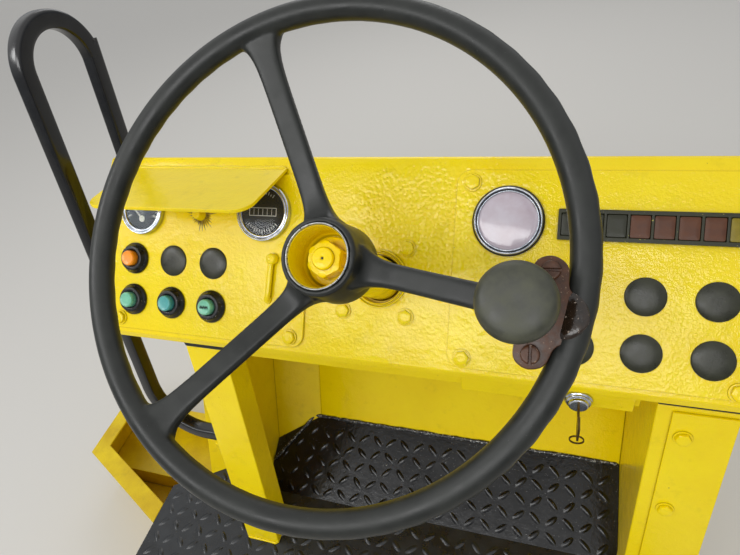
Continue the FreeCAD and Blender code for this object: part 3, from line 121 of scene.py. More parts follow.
def tilted_axes(origin: np.ndarray, slope: float) -> Axes:
    """Frame on a plane that rises to the front at a slope in radians, z out of it."""
    return axes_about(origin, np.array([0.0, -math.sin(slope), math.cos(slope)]))


def face_axes() -> Axes:
    """Frame of the instrument face: origin at the middle of its lower edge, z out of the face."""
    low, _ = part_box("dash_shell")
    return tilted_axes(np.array([0.0, low.y, low.z + FACE_DROP * MM]), math.radians(FACE_SLOPE))


def joint_axes(name: str) -> Axes:
    """Frame of a hinge: origin on its axis, z along it."""
    joint = next(j for j in frame["joints"] if j["name"] == name)
    return axes_about(np.array(joint["pos_m"]), np.array(joint["axis"]))


def node_box(node: str) -> tuple[np.ndarray, np.ndarray]:
    """Lowest and highest corner of a CAD node, in millimetres."""
    low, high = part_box(node)
    return np.array(low) / MM, np.array(high) / MM


def unit(vectors: np.ndarray) -> np.ndarray:
    """Vectors brought to length one."""
    return vectors / np.linalg.norm(vectors, axis=-1, keepdims=True)


def blend_corners(corners: np.ndarray, radius: float, steps: int, closed: bool) -> np.ndarray:
    """Round the corners of a profile or of a closed outline.

    Each corner gives way to a quadratic blend between points a little before and after it,
    never further than 45 % along either neighbour.

    Args:
        corners: array of points in millimetres.
        radius: how far before and after a corner the blend starts.
        steps: points on each blend.
        closed: whether the last point joins the first.

    Returns:
        The rounded points.
    """
    t = np.linspace(0, 1, steps)[None, :, None]

    def near(way: np.ndarray) -> np.ndarray:
        """Where a corner's blend meets one of its two sides."""
        length = np.maximum(np.linalg.norm(way, axis=1, keepdims=True), 1e-9)
        return (corners + way * np.minimum(radius / length, 0.45))[:, None]

    before = near(np.roll(corners, 1, axis=0) - corners)
    after = near(np.roll(corners, -1, axis=0) - corners)
    blend = (1 - t) ** 2 * before + 2 * t * (1 - t) * corners[:, None] + t**2 * after
    if closed:
        return blend.reshape(-1, 2)
    return np.concatenate([corners[:1], blend[1:-1].reshape(-1, 2), corners[-1:]])


def rounded(corners: list[tuple[float, float]], radius: float, steps: int = 5) -> np.ndarray:
    """Round the inner corners of an open profile of radius and height."""
    return blend_corners(np.array(corners, float), radius, steps, closed=False)


def polar(angle: np.ndarray, radius: np.ndarray, height: np.ndarray) -> np.ndarray:
    """Points (r cos a, r sin a, h) of a grid of angles, radii and heights."""
    x, y, z = np.broadcast_arrays(np.cos(angle) * radius, np.sin(angle) * radius, height)
    return np.stack([x, y, z], axis=-1)


def lathe(profile: np.ndarray, axes: Axes, segments: int = 96) -> np.ndarray:
    """Turn a profile about the local z axis: each point is (r cos a, r sin a, h).

    Args:
        profile: points of radius and height in millimetres.
        axes: local frame.
        segments: steps round the axis.

    Returns:
        Grid of points in metres, one row for each step.
    """
    angle = np.linspace(0, FULL_TURN, segments, endpoint=False)[:, None]
    radius, height = np.asarray(profile, float).T
    return axes.world(polar(angle, radius, height))


def superellipse(half_width: float, half_height: float, power: float, count: int) -> np.ndarray:
    """Work out a closed section |x/a|^p + |y/b|^p = 1.

    Args:
        half_width: half the section's width, a.
        half_height: half its height, b.
        power: exponent p, 2 for an ellipse and more for a squarer section.
        count: points round it.

    Returns:
        The points, as an array of x and y.
    """
    angle = np.linspace(0, FULL_TURN, count, endpoint=False)
    cosine, sine = np.cos(angle), np.sin(angle)
    x = half_width * np.sign(cosine) * np.abs(cosine) ** (2 / power)
    y = half_height * np.sign(sine) * np.abs(sine) ** (2 / power)
    return np.stack([x, y], axis=-1)


def hexagon(angle: np.ndarray, flats: float) -> np.ndarray:
    """Radius of a hexagon: half the width across flats over the cosine from the nearest flat."""
    return flats / 2 / np.cos((angle + SIXTH_TURN / 2) % SIXTH_TURN - SIXTH_TURN / 2)


def carried(path: np.ndarray, section: np.ndarray, side: np.ndarray) -> np.ndarray:
    """Carry a section along a path.

    Each point is path + section x * across + section y * rise, where rise is the side vector
    made square to the path's tangent, and across is square to both.

    Args:
        path: points along the middle, in metres.
        section: points of one section, or one section for each path point, in metres.
        side: vector, or one vector for each path point, that the section's y axis stays nearest to.

    Returns:
        Grid of points, one row for each path point.
    """
    tangent = unit(np.gradient(path, axis=0))
    side = np.broadcast_to(side, tangent.shape)
    rise = unit(side - tangent * np.sum(tangent * side, axis=1, keepdims=True))
    across = np.cross(rise, tangent)
    section = np.broadcast_to(section, (len(path),) + section.shape[-2:])
    return path[:, None] + section[..., :1] * across[:, None] + section[..., 1:] * rise[:, None]


class Body(Enum):
    """The bodies that pieces ride on."""

    CONSOLE = "console"
    WHEEL = "steering_wheel"
    KNOB = "spinner_knob"


class Surface:
    """Gathers grids of points into one mesh."""

    def __init__(self) -> None:
        """Start with no points."""
        self.points: list[np.ndarray] = []
        self.faces: list[list[int]] = []
        self.count = 0

    def grid(
        self, points: np.ndarray, wrap_u: bool = False, wrap_v: bool = False, caps: bool = False
    ) -> None:
        """Add a grid of points as quads.

        Args:
            points: array of rows, columns and xyz in metres.
            wrap_u: join the last row to the first.
            wrap_v: join the last column to the first.
            caps: close the first and last row with a face each.
        """
        rows, columns = points.shape[:2]
        index = self.count + np.arange(rows * columns).reshape(rows, columns)
        down = np.concatenate([index, index[:1]]) if wrap_u else index
        full = np.concatenate([down, down[:, :1]], axis=1) if wrap_v else down
        quads = np.stack([full[:-1, :-1], full[1:, :-1], full[1:, 1:], full[:-1, 1:]], axis=-1)
        self.faces += quads.reshape(-1, 4).tolist()
        if caps:
            self.faces += [index[0].tolist(), index[-1].tolist()[::-1]]
        self.points.append(points.reshape(-1, 3))
        self.count += rows * columns

    def turn(self, profile: np.ndarray, axes: Axes, segments: int = 96, closed: bool = False) -> None:
        """Add a lathed profile, closed on itself if it is a ring's section."""
        self.grid(lathe(profile, axes, segments), wrap_u=True, wrap_v=closed)

    def plate(self, outline: np.ndarray, axes: Axes, foot: float, top: float, edge: float) -> None:
        """Add a flat plate with softened edges.

        The outline is drawn in by the edge along its inward normal at the first and last level.

        Args:
            outline: closed outline on the local plane, counter-clockwise, in millimetres.
            axes: local frame.
            foot: lower level.
            top: upper level.
            edge: size of the softening.
        """
        way = np.roll(outline, -1, axis=0) - np.roll(outline, 1, axis=0)
        inward = unit(np.stack([-way[:, 1], way[:, 0]], axis=-1))
        steps = ((1.0, foot), (0.3, foot + edge * 0.3), (0.0, foot + edge))
        steps += ((0.0, top - edge), (0.3, top - edge * 0.3), (1.0, top))
        rings = [
            np.column_stack([outline + inward * edge * share, np.full(len(outline), level)])
            for share, level in steps
        ]
        self.grid(axes.world(np.stack(rings)), wrap_v=True, caps=True)

    def piece(
        self,
        name: str,
        finish: "Finish",
        body: Body = Body.CONSOLE,
        replaces: tuple[str, ...] = (),
        sharp: float = SHARP,
    ) -> bpy.types.Object:
        """Make the mesh object, close its poles, point its faces outwards and dress it.

        Args:
            name: the piece's name.
            finish: its finish.
            body: the CAD body it rides on.
            replaces: CAD nodes that it stands for.
            sharp: angle over which an edge stays sharp.

        Returns:
            The new object.
        """
        mesh = bpy.data.meshes.new(name)
        mesh.from_pydata(np.concatenate(self.points).tolist(), [], self.faces)
        seal(mesh)
        mesh.shade_smooth()
        mesh.set_sharp_from_angle(angle=sharp)
        obj = bpy.data.objects.new(name, mesh)
        bpy.context.scene.collection.objects.link(obj)
        return settle(obj, finish, body, replaces)


def turned_piece(
    name: str,
    profile: list[tuple[float, float]] | np.ndarray,
    axes: Axes,
    finish: "Finish",
    replaces: tuple[str, ...] = (),
    soft: float = 0.0,
    segments: int = 96,
    closed: bool = False,
    body: Body = Body.CONSOLE,
) -> bpy.types.Object:
    """Make a piece by turning one profile about the local z axis.

    Args:
        name: the piece's name.
        profile: points of radius and height in millimetres.
        axes: local frame.
        finish: its finish.
        replaces: CAD nodes that it stands for.
        soft: how far the rounding of its corners reaches, 0 for sharp ones.
        segments: steps round the axis.
        closed: whether it is a ring's section, whose last point repeats the first.
        body: the CAD body it rides on.

    Returns:
        The new object.
    """
    surface = Surface()
    points = rounded(profile, soft) if soft else np.array(profile, float)
    surface.turn(points, axes, segments, closed)
    return surface.piece(name, finish, body, replaces)


def seal(mesh: bpy.types.Mesh) -> None:
    """Merge doubled points and recalculate the normals outwards.

    Args:
        mesh: the mesh, which is changed in place.
    """
    work = bmesh.new()
    work.from_mesh(mesh)
    bmesh.ops.remove_doubles(work, verts=work.verts, dist=WELD_GAP)
    bmesh.ops.dissolve_degenerate(work, edges=work.edges, dist=WELD_GAP)
    bmesh.ops.recalc_face_normals(work, faces=work.faces)
    work.to_mesh(mesh)
    work.free()


def settle(
    obj: bpy.types.Object, finish: "Finish", body: Body, replaces: tuple[str, ...] = ()
) -> bpy.types.Object:
    """Give a piece its material and its body, and log it.

    Args:
        obj: the piece.
        finish: its finish.
        body: the CAD body it rides on.
        replaces: CAD nodes that it stands for.

    Returns:
        The same object.
    """
    obj.data.materials.clear()
    obj.data.materials.append(finish.material())
    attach(obj, body.value)
    if replaces:
        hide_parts(*replaces)
    log.info("%s: %s on %s", obj.name, finish.name, body.value)
    return obj


def softened(
    node: str, finish: "Finish", width: float, body: Body = Body.CONSOLE, segments: int = 3
) -> bpy.types.Object:
    """Copy a CAD node with its flat faces joined up and its edges rounded.

    Args:
        node: the CAD node.
        finish: its finish.
        width: width of the rounding in millimetres.
        body: the CAD body it rides on.
        segments: faces across the rounding.

    Returns:
        The new object, which stands for the node.
    """
    mesh = frame["nodes"][node].data.copy()
    mesh.name = f"{node}_finished"
    work = bmesh.new()
    work.from_mesh(mesh)
    bmesh.ops.remove_doubles(work, verts=work.verts, dist=WELD_GAP)
    bmesh.ops.dissolve_limit(work, angle_limit=FLAT, verts=work.verts, edges=work.edges)
    work.to_mesh(mesh)
    work.free()
    mesh.shade_smooth()
    obj = bpy.data.objects.new(mesh.name, mesh)
    bpy.context.scene.collection.objects.link(obj)
    bevel = obj.modifiers.new("rounding", "BEVEL")
    bevel.width = width * MM
    bevel.segments = segments
    bevel.limit_method = "ANGLE"
    bevel.angle_limit = FOLDED
    bevel.harden_normals = True
    flat = obj.modifiers.new("flat_faces", "WEIGHTED_NORMAL")
    flat.keep_sharp = True
    return settle(obj, finish, body, (node,))


# Finishes


def linear(code: str) -> tuple[float, float, float, float]:
    """Turn an sRGB hex colour into the linear colour that a shader takes.

    Args:
        code: the colour as #RRGGBB.

    Returns:
        Linear red, green, blue and a full alpha.
    """
    parts = [int(code[k : k + 2], 16) / 255 for k in (1, 3, 5)]
    values = [c / 12.92 if c <= 0.04045 else ((c + 0.055) / 1.055) ** 2.4 for c in parts]
    return (*values, 1.0)


def add_node(
    tree: Tree, kind: str, inputs: dict[str | int, object], **settings: object
) -> bpy.types.Node:
    """Add a node with its settings and links.

    Args:
        tree: the material's node tree.
        kind: the node's type.
        inputs: socket name or number to a value, or to an output socket to link.
        settings: properties of the node.

    Returns:
        The new node.
    """
    node = tree.nodes.new(kind)
    for key, value in settings.items():
        setattr(node, key, value)
    for key, value in inputs.items():
        if isinstance(value, bpy.types.NodeSocket):
            tree.links.new(value, node.inputs[key])
        else:
            node.inputs[key].default_value = value
    return node


def per_metre(size: float) -> float:
    """Noise scale whose patches are about size millimetres."""
    return 1000 / size


# Types of the nodes that are used most. A colour mix takes its factor at socket 0 and its colours
# at 6 and 7, and gives the result at 2.
NOISE = "ShaderNodeTexNoise"
RANGE = "ShaderNodeMapRange"
MIX = "ShaderNodeMix"
MATH = "ShaderNodeMath"
BUMP = "ShaderNodeBump"

# How much each finer step of a noise keeps of the one before.
GRAIN = 0.6


@dataclass(frozen=True)
class Relief:
    """One layer of relief: the size of its bumps and their height, in millimetres."""

    size: float
    height: float
    detail: float = 2.0


@dataclass(frozen=True)
class Finish:
    """A finish of two tones in patches, with layers of relief and hard-edged chips or specks.

    Patches and chips have their size in millimetres, and the chips show where a noise is below
    their share.
    """

    name: str
    slot: str
    colour: str
    second: str
    roughness: float
    metallic: float = 0.0
    ior: float = 1.5
    coat: float = 0.0
    patch: float = 30.0
    relief: tuple[Relief, ...] = (Relief(0.8, 0.02, 3.0),)
    chips: str = ""
    chip_size: float = 3.0
    chip_share: float = 0.36

    def material(self) -> bpy.types.Material:
        """The finish's material, made once."""
        return bpy.data.materials.get(self.name) or self.build()

    def build(self) -> bpy.types.Material:
        """Make the material: tones and chips in the colour, patches in the gloss, and the relief.

        Returns:
            The new material.
        """
        material = bpy.data.materials.new(self.name)
        material.use_nodes = True
        tree = material.node_tree
        shader = tree.nodes["Principled BSDF"].inputs
        shader["Metallic"].default_value = self.metallic
        shader["Coat Weight"].default_value = self.coat
        shader["Coat Roughness"].default_value = 0.05
        if not self.metallic:
            shader["IOR"].default_value = self.ior
        where = add_node(tree, "ShaderNodeTexCoord", {}).outputs["Object"]
        inputs = {"Vector": where, "Scale": per_metre(self.patch), "Detail": 5.0, "Roughness": GRAIN}
        noise = add_node(tree, NOISE, inputs).outputs["Fac"]
        inputs = {"Value": noise, "From Min": 0.35, "From Max": 0.68}
        patches = add_node(tree, RANGE, inputs).outputs["Result"]
        tones = {0: patches, 6: linear(self.colour), 7: linear(self.second)}
        colour = add_node(tree, MIX, tones, data_type="RGBA").outputs[2]
        inputs = {"Value": patches, "To Min": self.roughness * 0.85, "To Max": self.roughness * 1.3}
        gloss = add_node(tree, RANGE, inputs).outputs["Result"]
        tree.links.new(self.weathered(tree, where, colour), shader["Base Color"])
        tree.links.new(gloss, shader["Roughness"])
        tree.links.new(self.bumps(tree, where), shader["Normal"])
        return material

    def weathered(self, tree: Tree, where: Socket, colour: Socket) -> Socket:
        """Lay the chips over the colour, where a fine noise falls below the chip share.

        Args:
            tree: the material's node tree.
            where: object coordinates.
            colour: colour under the chips.

        Returns:
            The colour with its chips.
        """
        if not self.chips:
            return colour
        inputs = {"Vector": where, "Scale": per_metre(self.chip_size), "Detail": 4.0, "Roughness": GRAIN}
        fine = add_node(tree, NOISE, inputs).outputs["Fac"]
        inputs = {"Value": fine, "From Min": self.chip_share, "From Max": self.chip_share - 0.02}
        mask = add_node(tree, RANGE, inputs).outputs["Result"]
        return add_node(tree, MIX, {0: mask, 6: colour, 7: linear(self.chips)}, data_type="RGBA").outputs[2]

    def bumps(self, tree: Tree, where: Socket) -> Socket:
        """Stack the layers of relief, each pressed into the normal of the one before.

        Args:
            tree: the material's node tree.
            where: object coordinates.

        Returns:
            The bumped normal.
        """
        press = {"Strength": 1.0}
        for layer in self.relief:
            inputs = {"Vector": where, "Scale": per_metre(layer.size), "Detail": layer.detail}
            press["Height"] = add_node(tree, NOISE, {**inputs, "Roughness": GRAIN}).outputs["Fac"]
            press["Distance"] = layer.height * MM
            press["Normal"] = add_node(tree, BUMP, press).outputs["Normal"]
        return press["Normal"]


@dataclass(frozen=True)
class BrushedEnamel(Finish):
    """Thick gloss enamel laid over old paint: orange peel, slow waves, curdled patches, grime, and painted
    shade in its crevices.
    """

    # The grime colour also paints shade into crevices: crevice is how far the occlusion looks, and the
    # dirt-and-shade share is how strongly it darkens.
    grime_and_shade: str = "#7A6410"
    grime_share: float = 0.22
    grime_size: float = 22.0
    crevice: float = 3.4
    dirt_and_shade_share: float = 0.55
    curd: float = 3.8
    curd_height: float = 1.3
    curd_at: tuple[float, float] = (5.0, 150.0)
    curd_reach: float = 120.0
    curd_edge: float = 40.0

    def weathered(self, tree: Tree, where: Socket, colour: Socket) -> Socket:
        """Lay a thin uneven film of grime over the paint, and dirt with painted shade in its crevices, then
        the chips.

        Args:
            tree: the material's node tree.
            where: object coordinates.
            colour: colour of the clean paint.

        Returns:
            The colour with grime, painted crevice shade and chips.
        """
        inputs = {"Vector": where, "Scale": per_metre(self.grime_size), "Detail": 8.0, "Roughness": GRAIN}
        cloud = add_node(tree, NOISE, inputs).outputs["Fac"]
        inputs = {"Value": cloud, "From Min": 0.58, "From Max": 0.80, "To Max": self.grime_share}
        film = add_node(tree, RANGE, inputs).outputs["Result"]
        # Painted shade and dirt: darker where ambient occlusion finds the surface shut in by near parts.
        inputs = {"Distance": self.crevice * MM}
        shut = add_node(tree, "ShaderNodeAmbientOcclusion", inputs, samples=6).outputs["AO"]
        inputs = {"Value": shut, "From Min": 0.80, "From Max": 0.42, "To Max": self.dirt_and_shade_share}
        dirt_and_shade = add_node(tree, RANGE, inputs).outputs["Result"]
        # The grime film and the painted crevice shade share one mask and one colour.
        film = add_node(tree, MATH, {0: film, 1: dirt_and_shade}, operation="MAXIMUM").outputs[0]
        tones = {0: film, 6: colour, 7: linear(self.grime_and_shade)}
        return super().weathered(tree, where, add_node(tree, MIX, tones, data_type="RGBA").outputs[2])

    def bumps(self, tree: Tree, where: Socket) -> Socket:
        """Add curdled wrinkles to the layers, in a ragged patch of the face above the column.

        The patch fades with the distance from its middle, to which a noise is added.

        Args:
            tree: the material's node tree.
            where: object coordinates.

        Returns:
            The bumped normal.
        """
        normal = super().bumps(tree, where)
        inputs = {"Vector": where, "Scale": per_metre(self.curd), "Randomness": 1.0}
        cells = add_node(tree, "ShaderNodeTexVoronoi", inputs, feature="SMOOTH_F1").outputs["Distance"]
        middle = face_axes().world(np.array([*self.curd_at, 0.0])).tolist()
        away = add_node(tree, "ShaderNodeVectorMath", {0: where, 1: middle}, operation="DISTANCE")
        inputs = {"Vector": where, "Scale": per_metre(self.curd_edge), "Detail": 3.0, "Roughness": GRAIN}
        noise = add_node(tree, NOISE, inputs).outputs["Fac"]
        near = self.curd_reach * MM
        inputs = {0: noise, 1: near * 2, 2: away.outputs["Value"]}
        ragged = add_node(tree, MATH, inputs, operation="MULTIPLY_ADD").outputs[0]
        inputs = {"Value": ragged, "From Min": near * 1.8, "From Max": near * 1.35}
        region = add_node(tree, RANGE, inputs).outputs["Result"]
        curds = add_node(tree, MATH, {0: cells, 1: region}, operation="MULTIPLY").outputs[0]
        inputs = {"Height": curds, "Distance": self.curd_height * MM, "Normal": normal}
        return add_node(tree, BUMP, inputs).outputs["Normal"]


@dataclass(frozen=True)
class ClearGlass(Finish):
    """Clear window of a dial: smooth and thin, so it mirrors little."""

    def build(self) -> bpy.types.Material:
        """Make the material with full transmission.

        Returns:
            The new material.
        """
        material = bpy.data.materials.new(self.name)
        material.use_nodes = True
        shader = material.node_tree.nodes["Principled BSDF"]
        shader.inputs["Base Color"].default_value = linear(self.colour)
        shader.inputs["Roughness"].default_value = self.roughness
        shader.inputs["IOR"].default_value = self.ior
        shader.inputs["Transmission Weight"].default_value = 1.0
        return material


# Relief of brushed enamel: slow sags, orange peel, and the grain of the old paint under it.
# Grains of paint, rubber, plastic and turned steel that are finer than a millimetre are drawn about
# three times as coarse as the real ones, so that they show.
PEEL = (Relief(18.0, 0.65, 1.0), Relief(3.2, 0.38), Relief(1.3, 0.04))

# Overpainted machine enamel: a glossy lemon yellow, thick enough to hold its orange peel.
ENAMEL = BrushedEnamel(
    "yellow_enamel", "yellow_paint", "#F9DE04", "#F3D400", 0.13, ior=1.42, patch=90.0,
    relief=PEEL, chips="#6A5A14", chip_size=5.0, chip_share=0.262,
)
# The same enamel on the step and the base, dusty and duller; its darker yellow is partly dust and partly
# painted shade.
DUSTY_SHADED_ENAMEL = BrushedEnamel(
    "dusty_shaded_enamel", "yellow_paint", "#DFC208", "#C8A60C", 0.36, ior=1.42, patch=60.0,
    relief=PEEL, chips="#5A4A18", chip_size=6.0, chip_share=0.27, grime_and_shade="#8C7420", grime_share=0.4,
)
# Paint torn up round the light's stub: the same yellow, brown in its cracks.
TORN_ENAMEL = BrushedEnamel(
    "torn_enamel", "yellow_paint", "#B89C0A", "#6E5A0C", 0.34, patch=5.0, relief=PEEL,
    chips="#3E300C", chip_size=1.6, chip_share=0.40, grime_and_shade="#5A4608", grime_share=0.6,
)
# Chequer plate in black machine paint: satin, with grey dust and bright nicks on the tears.
TREAD = Finish(
    "black_tread_paint", "chequer_black", "#17191B", "#232629", 0.28, patch=26.0,
    relief=(Relief(5.0, 0.16), Relief(1.3, 0.05)), chips="#6C6C6A", chip_size=2.2, chip_share=0.30,
)
# The toe plate is wetter and glossier than the floor, and speckled with silver; its blacker paint is partly
# painted shade under the dash.
WET_SHADED_TREAD = Finish(
    "wet_shaded_tread_paint", "chequer_black", "#08090A", "#111214", 0.20, ior=1.46, patch=22.0,
    relief=(Relief(7.0, 0.35), Relief(1.6, 0.06)), chips="#B2B4B4", chip_size=1.8, chip_share=0.315,
)
# Sealing bead along the toe plate: black, with a ragged silver edge.
SPECKLED_BEAD = Finish(
    "speckled_bead", "chequer_black", "#1B1C1D", "#303132", 0.24, patch=6.0,
    relief=(Relief(2.5, 0.4),), chips="#B6B7B4", chip_size=3.0, chip_share=0.42,
)
# Bar of the rail: black gloss paint with small scars.
BLACK_GLOSS = Finish(
    "black_gloss_paint", "gloss_black", "#08080A", "#101114", 0.20, coat=0.15, patch=18.0,
    relief=(Relief(6.0, 0.12),), chips="#3C3F45", chip_size=2.2, chip_share=0.30,
)
# Moulded vinyl of the steering wheel: dark grey with a soft sheen from hands.
WHEEL_VINYL = Finish(
    "wheel_vinyl", "wheel_black", "#1D1F1D", "#282A27", 0.38, ior=1.42, patch=24.0,
    relief=(Relief(5.0, 0.06), Relief(0.9, 0.015)), chips="#6A6B6A", chip_size=1.5, chip_share=0.272,
)
# Hard moulded knob: matt, a little green, mottled by sun and sweat.
KNOB_PLASTIC = Finish(
    "knob_plastic", "knob_black", "#34352B", "#484939", 0.46, patch=11.0,
    relief=(Relief(4.0, 0.05), Relief(1.1, 0.02)),
)
# Hard black plastic of guards and frames, with white scratches.
GUARD_PLASTIC = Finish(
    "guard_plastic", "bezel_black", "#0C0C0D", "#17181A", 0.30, ior=1.42, patch=9.0,
    relief=(Relief(1.0, 0.02),), chips="#C9CACB", chip_size=2.0, chip_share=0.32,
)
# Frame of the warning strip: an olive black that carries smears of the yellow.
FRAME_PLASTIC = Finish(
    "strip_frame_plastic", "bezel_black", "#222310", "#2D2E1A", 0.38, ior=1.40, patch=9.0,
    relief=(Relief(1.4, 0.04),), chips="#A39C4A", chip_size=2.4, chip_share=0.315,
)
# Nylon of the blanking plugs: charcoal, polished by weather.
PLUG_NYLON = Finish(
    "plug_nylon", "plug_grey", "#242518", "#323324", 0.30, ior=1.42, patch=12.0,
    relief=(Relief(3.0, 0.05), Relief(0.9, 0.02)), chips="#8C8C7C", chip_size=1.4, chip_share=0.27,
)
# Rubber of the mounts: dead matt and grainy.
RUBBER = Finish(
    "mount_rubber", "pad_rubber", "#17181A", "#222426", 0.70, patch=10.0, relief=(Relief(0.7, 0.05),),
)
# Chromed rings, with a faint haze.
CHROME = Finish(
    "bezel_chrome", "chrome_trim", "#D4D8DE", "#A8AEB6", 0.10, metallic=1.0, patch=7.0,
    relief=(Relief(3.0, 0.01),), chips="#4E5054", chip_size=1.6, chip_share=0.26,
)
# Printed sheet of the dials, under glass: a matt black one, and one faded to slate by the sun.
BLACK_DIAL = Finish("black_dial", "dial_grey", "#17181A", "#202225", 0.50, patch=12.0)
GREY_DIAL = Finish("grey_dial", "dial_grey", "#1D262F", "#29333D", 0.75, ior=1.3, patch=9.0)
# Screen print of the dials: an ivory white, slightly raised.
DIAL_WHITE = Finish("dial_print", "dial_grey", "#F1EEE2", "#DFDACA", 0.50, patch=5.0)
# Sun-faded acrylic of the lamp: milky, a little pink.
LAMP_ACRYLIC = Finish(
    "lamp_acrylic", "lamp_lens", "#B9A9B2", "#C6BDC6", 0.14, coat=0.5, patch=20.0,
    relief=(Relief(12.0, 0.12, 1.0), Relief(1.4, 0.02)),
)
# Moulded caps of the buttons: hard, glossy and faintly mottled.
ORANGE_CAP = Finish("orange_cap_plastic", "cap_orange", "#FFA01C", "#F8900E", 0.30, coat=0.2, patch=8.0)
GREEN_CAP = Finish("green_cap_plastic", "cap_green", "#7CC8A6", "#66B492", 0.30, coat=0.25, patch=7.0)
TEAL_CAP = Finish("teal_cap_plastic", "cap_teal", "#4FA8A4", "#429A98", 0.30, coat=0.25, patch=7.0)
# Lenses of the warning strip: moulded acrylic gone dull, each with its own tint.
SMOKED = Finish(
    "smoked_acrylic", "lens_smoke", "#20210F", "#2A2B1A", 0.36, ior=1.40, patch=10.0,
    relief=(Relief(1.6, 0.04),), chips="#8A8668", chip_size=1.5, chip_share=0.28,
)
RED_ACRYLIC = Finish(
    "red_acrylic", "lens_red", "#4A2610", "#5A3218", 0.36, ior=1.40, patch=10.0,
    relief=(Relief(1.6, 0.04),), chips="#A88A66", chip_size=1.5, chip_share=0.28,
)
AMBER_ACRYLIC = Finish(
    "amber_acrylic", "lens_amber", "#7C6C06", "#8A7A0E", 0.36, ior=1.40, patch=10.0,
    relief=(Relief(1.6, 0.04),), chips="#C8B45A", chip_size=1.5, chip_share=0.28,
)
# Turned steel of the shaft and the knob's pin: bright, with the tool's fine marks.
STEEL = Finish(
    "turned_steel", "bare_steel", "#9A9B9C", "#7E8082", 0.34, metallic=1.0, patch=4.0,
    relief=(Relief(0.9, 0.02),),
)
# Plating of the hub's cup, flaked along its lip.
FLAKED_PLATE = Finish(
    "flaked_plate", "bare_steel", "#C2C3C0", "#9A9B98", 0.30, metallic=0.9, patch=4.0,
    relief=(Relief(1.4, 0.05),), chips="#3A392E", chip_size=2.2, chip_share=0.41,
)
# Sintered bronze of the bushes: dull, warm and a little brown.
BRONZE = Finish("bush_bronze", "bush_brass", "#A68A4C", "#8A713B", 0.38, metallic=1.0, patch=6.0)
# Clamp of the knob: brown paint worn to rust, still glossy.
BROWN_CLAMP = Finish(
    "browned_clamp", "clamp_brown", "#3A2314", "#58341D", 0.34, ior=1.42, patch=6.0,
    relief=(Relief(3.0, 0.14), Relief(1.0, 0.04)), chips="#A08468", chip_size=1.8, chip_share=0.34,
)
# Strap over the rim: the same paint, darker and polished by hands, worn bright in spots.
GLOSSY_STRAP = Finish(
    "polished_strap", "clamp_brown", "#1C1510", "#33261B", 0.16, patch=6.0,
    relief=(Relief(6.0, 0.30), Relief(1.2, 0.05)), chips="#A8988A", chip_size=2.0, chip_share=0.345,
)
# Stamped brass of the key, gone dark with handling.
OLD_BRASS = Finish("old_brass", "key_brass", "#6B5632", "#4E3F26", 0.36, metallic=1.0, patch=4.0)
# Thin window of a dial: its low IOR stands for a coated pane and keeps the lamps' mirror off it.
GLASS = ClearGlass("dial_window", "dial_grey", "#F2F6F8", "#F2F6F8", 0.02, ior=1.2)


# Small parts that several assemblies use

# M8 bolt heads: width across flats and height.
BOLT_FLATS = 13.0
BOLT_HEIGHT = 5.3


def hex_head(surface: Surface, axes: Axes, spin: float) -> None:
    """Add a painted hexagon head on a washer.

    The head's radius is the hexagon's, held inside a cone near the top for the chamfer.

    Args:
        surface: where the head is added.
        axes: frame on the seat, z outwards.
        spin: turn of the head in radians.
    """
    half, height = BOLT_FLATS / 2, BOLT_HEIGHT
    angle = np.linspace(0, FULL_TURN, 72, endpoint=False)[:, None] + spin
    level = np.array([0.6, 1.5, height * 0.7, height * 0.92, height, height, height])
    share = np.array([1.0, 1.0, 1.0, 0.99, 0.90, 0.5, 0.0])
    limit = half * np.array([1.2, 1.2, 1.16, 1.06, 0.97, 0.5, 0.0])
    radius = np.minimum(hexagon(angle - spin, BOLT_FLATS) * share, limit)
    surface.grid(axes.world(polar(angle, radius, level)), wrap_u=True)
    washer = rounded([(0, 0), (half * 1.36, 0), (half * 1.36, 1.5), (half * 0.6, 1.5)], 0.5)
    surface.turn(washer, axes, 48)


def weld_bead(
    surface: Surface, start: np.ndarray, end: np.ndarray, side: np.ndarray, size: float, seed: int
) -> None:
    """Add a fillet weld as a round bead whose radius ripples with the welder's steps.

    Radius is size times a constant, plus the absolute sine of the run for the steps, plus a slow
    wander, and it thins towards both ends.

    Args:
        surface: where the bead is added.
        start: start of the run in metres.
        end: its end in metres.
        side: direction that the bead's y axis keeps to.
        size: bead radius in millimetres.
        seed: start of the wander.
    """
    slice_length, wander_length, step_length = 1.3 * MM, 9 * MM, 3.6
    length = np.linalg.norm(end - start)
    count = max(int(length / slice_length), 8)
    share = np.linspace(0, 1, count)
    knots = np.random.default_rng(seed).uniform(-1, 1, (2, max(int(length / wander_length), 3)))
    places = np.linspace(0, 1, knots.shape[1])
    wander = np.stack([np.interp(share, places, row) for row in knots])
    steps = np.abs(np.sin(share * length / MM * math.pi / step_length))
    radius = 0.86 + 0.16 * steps + 0.20 * wander[0]
    radius *= np.minimum(1, np.minimum(share, 1 - share) * count / 3 + 0.2)
    path = start + (end - start) * share[:, None] + side * (0.3 * size * MM * wander[1])[:, None]
    ring = superellipse(size * MM, size * MM, 2.0, 12)
    surface.grid(carried(path, ring * radius[:, None, None], side), wrap_v=True, caps=True)


# The console's sheet metal


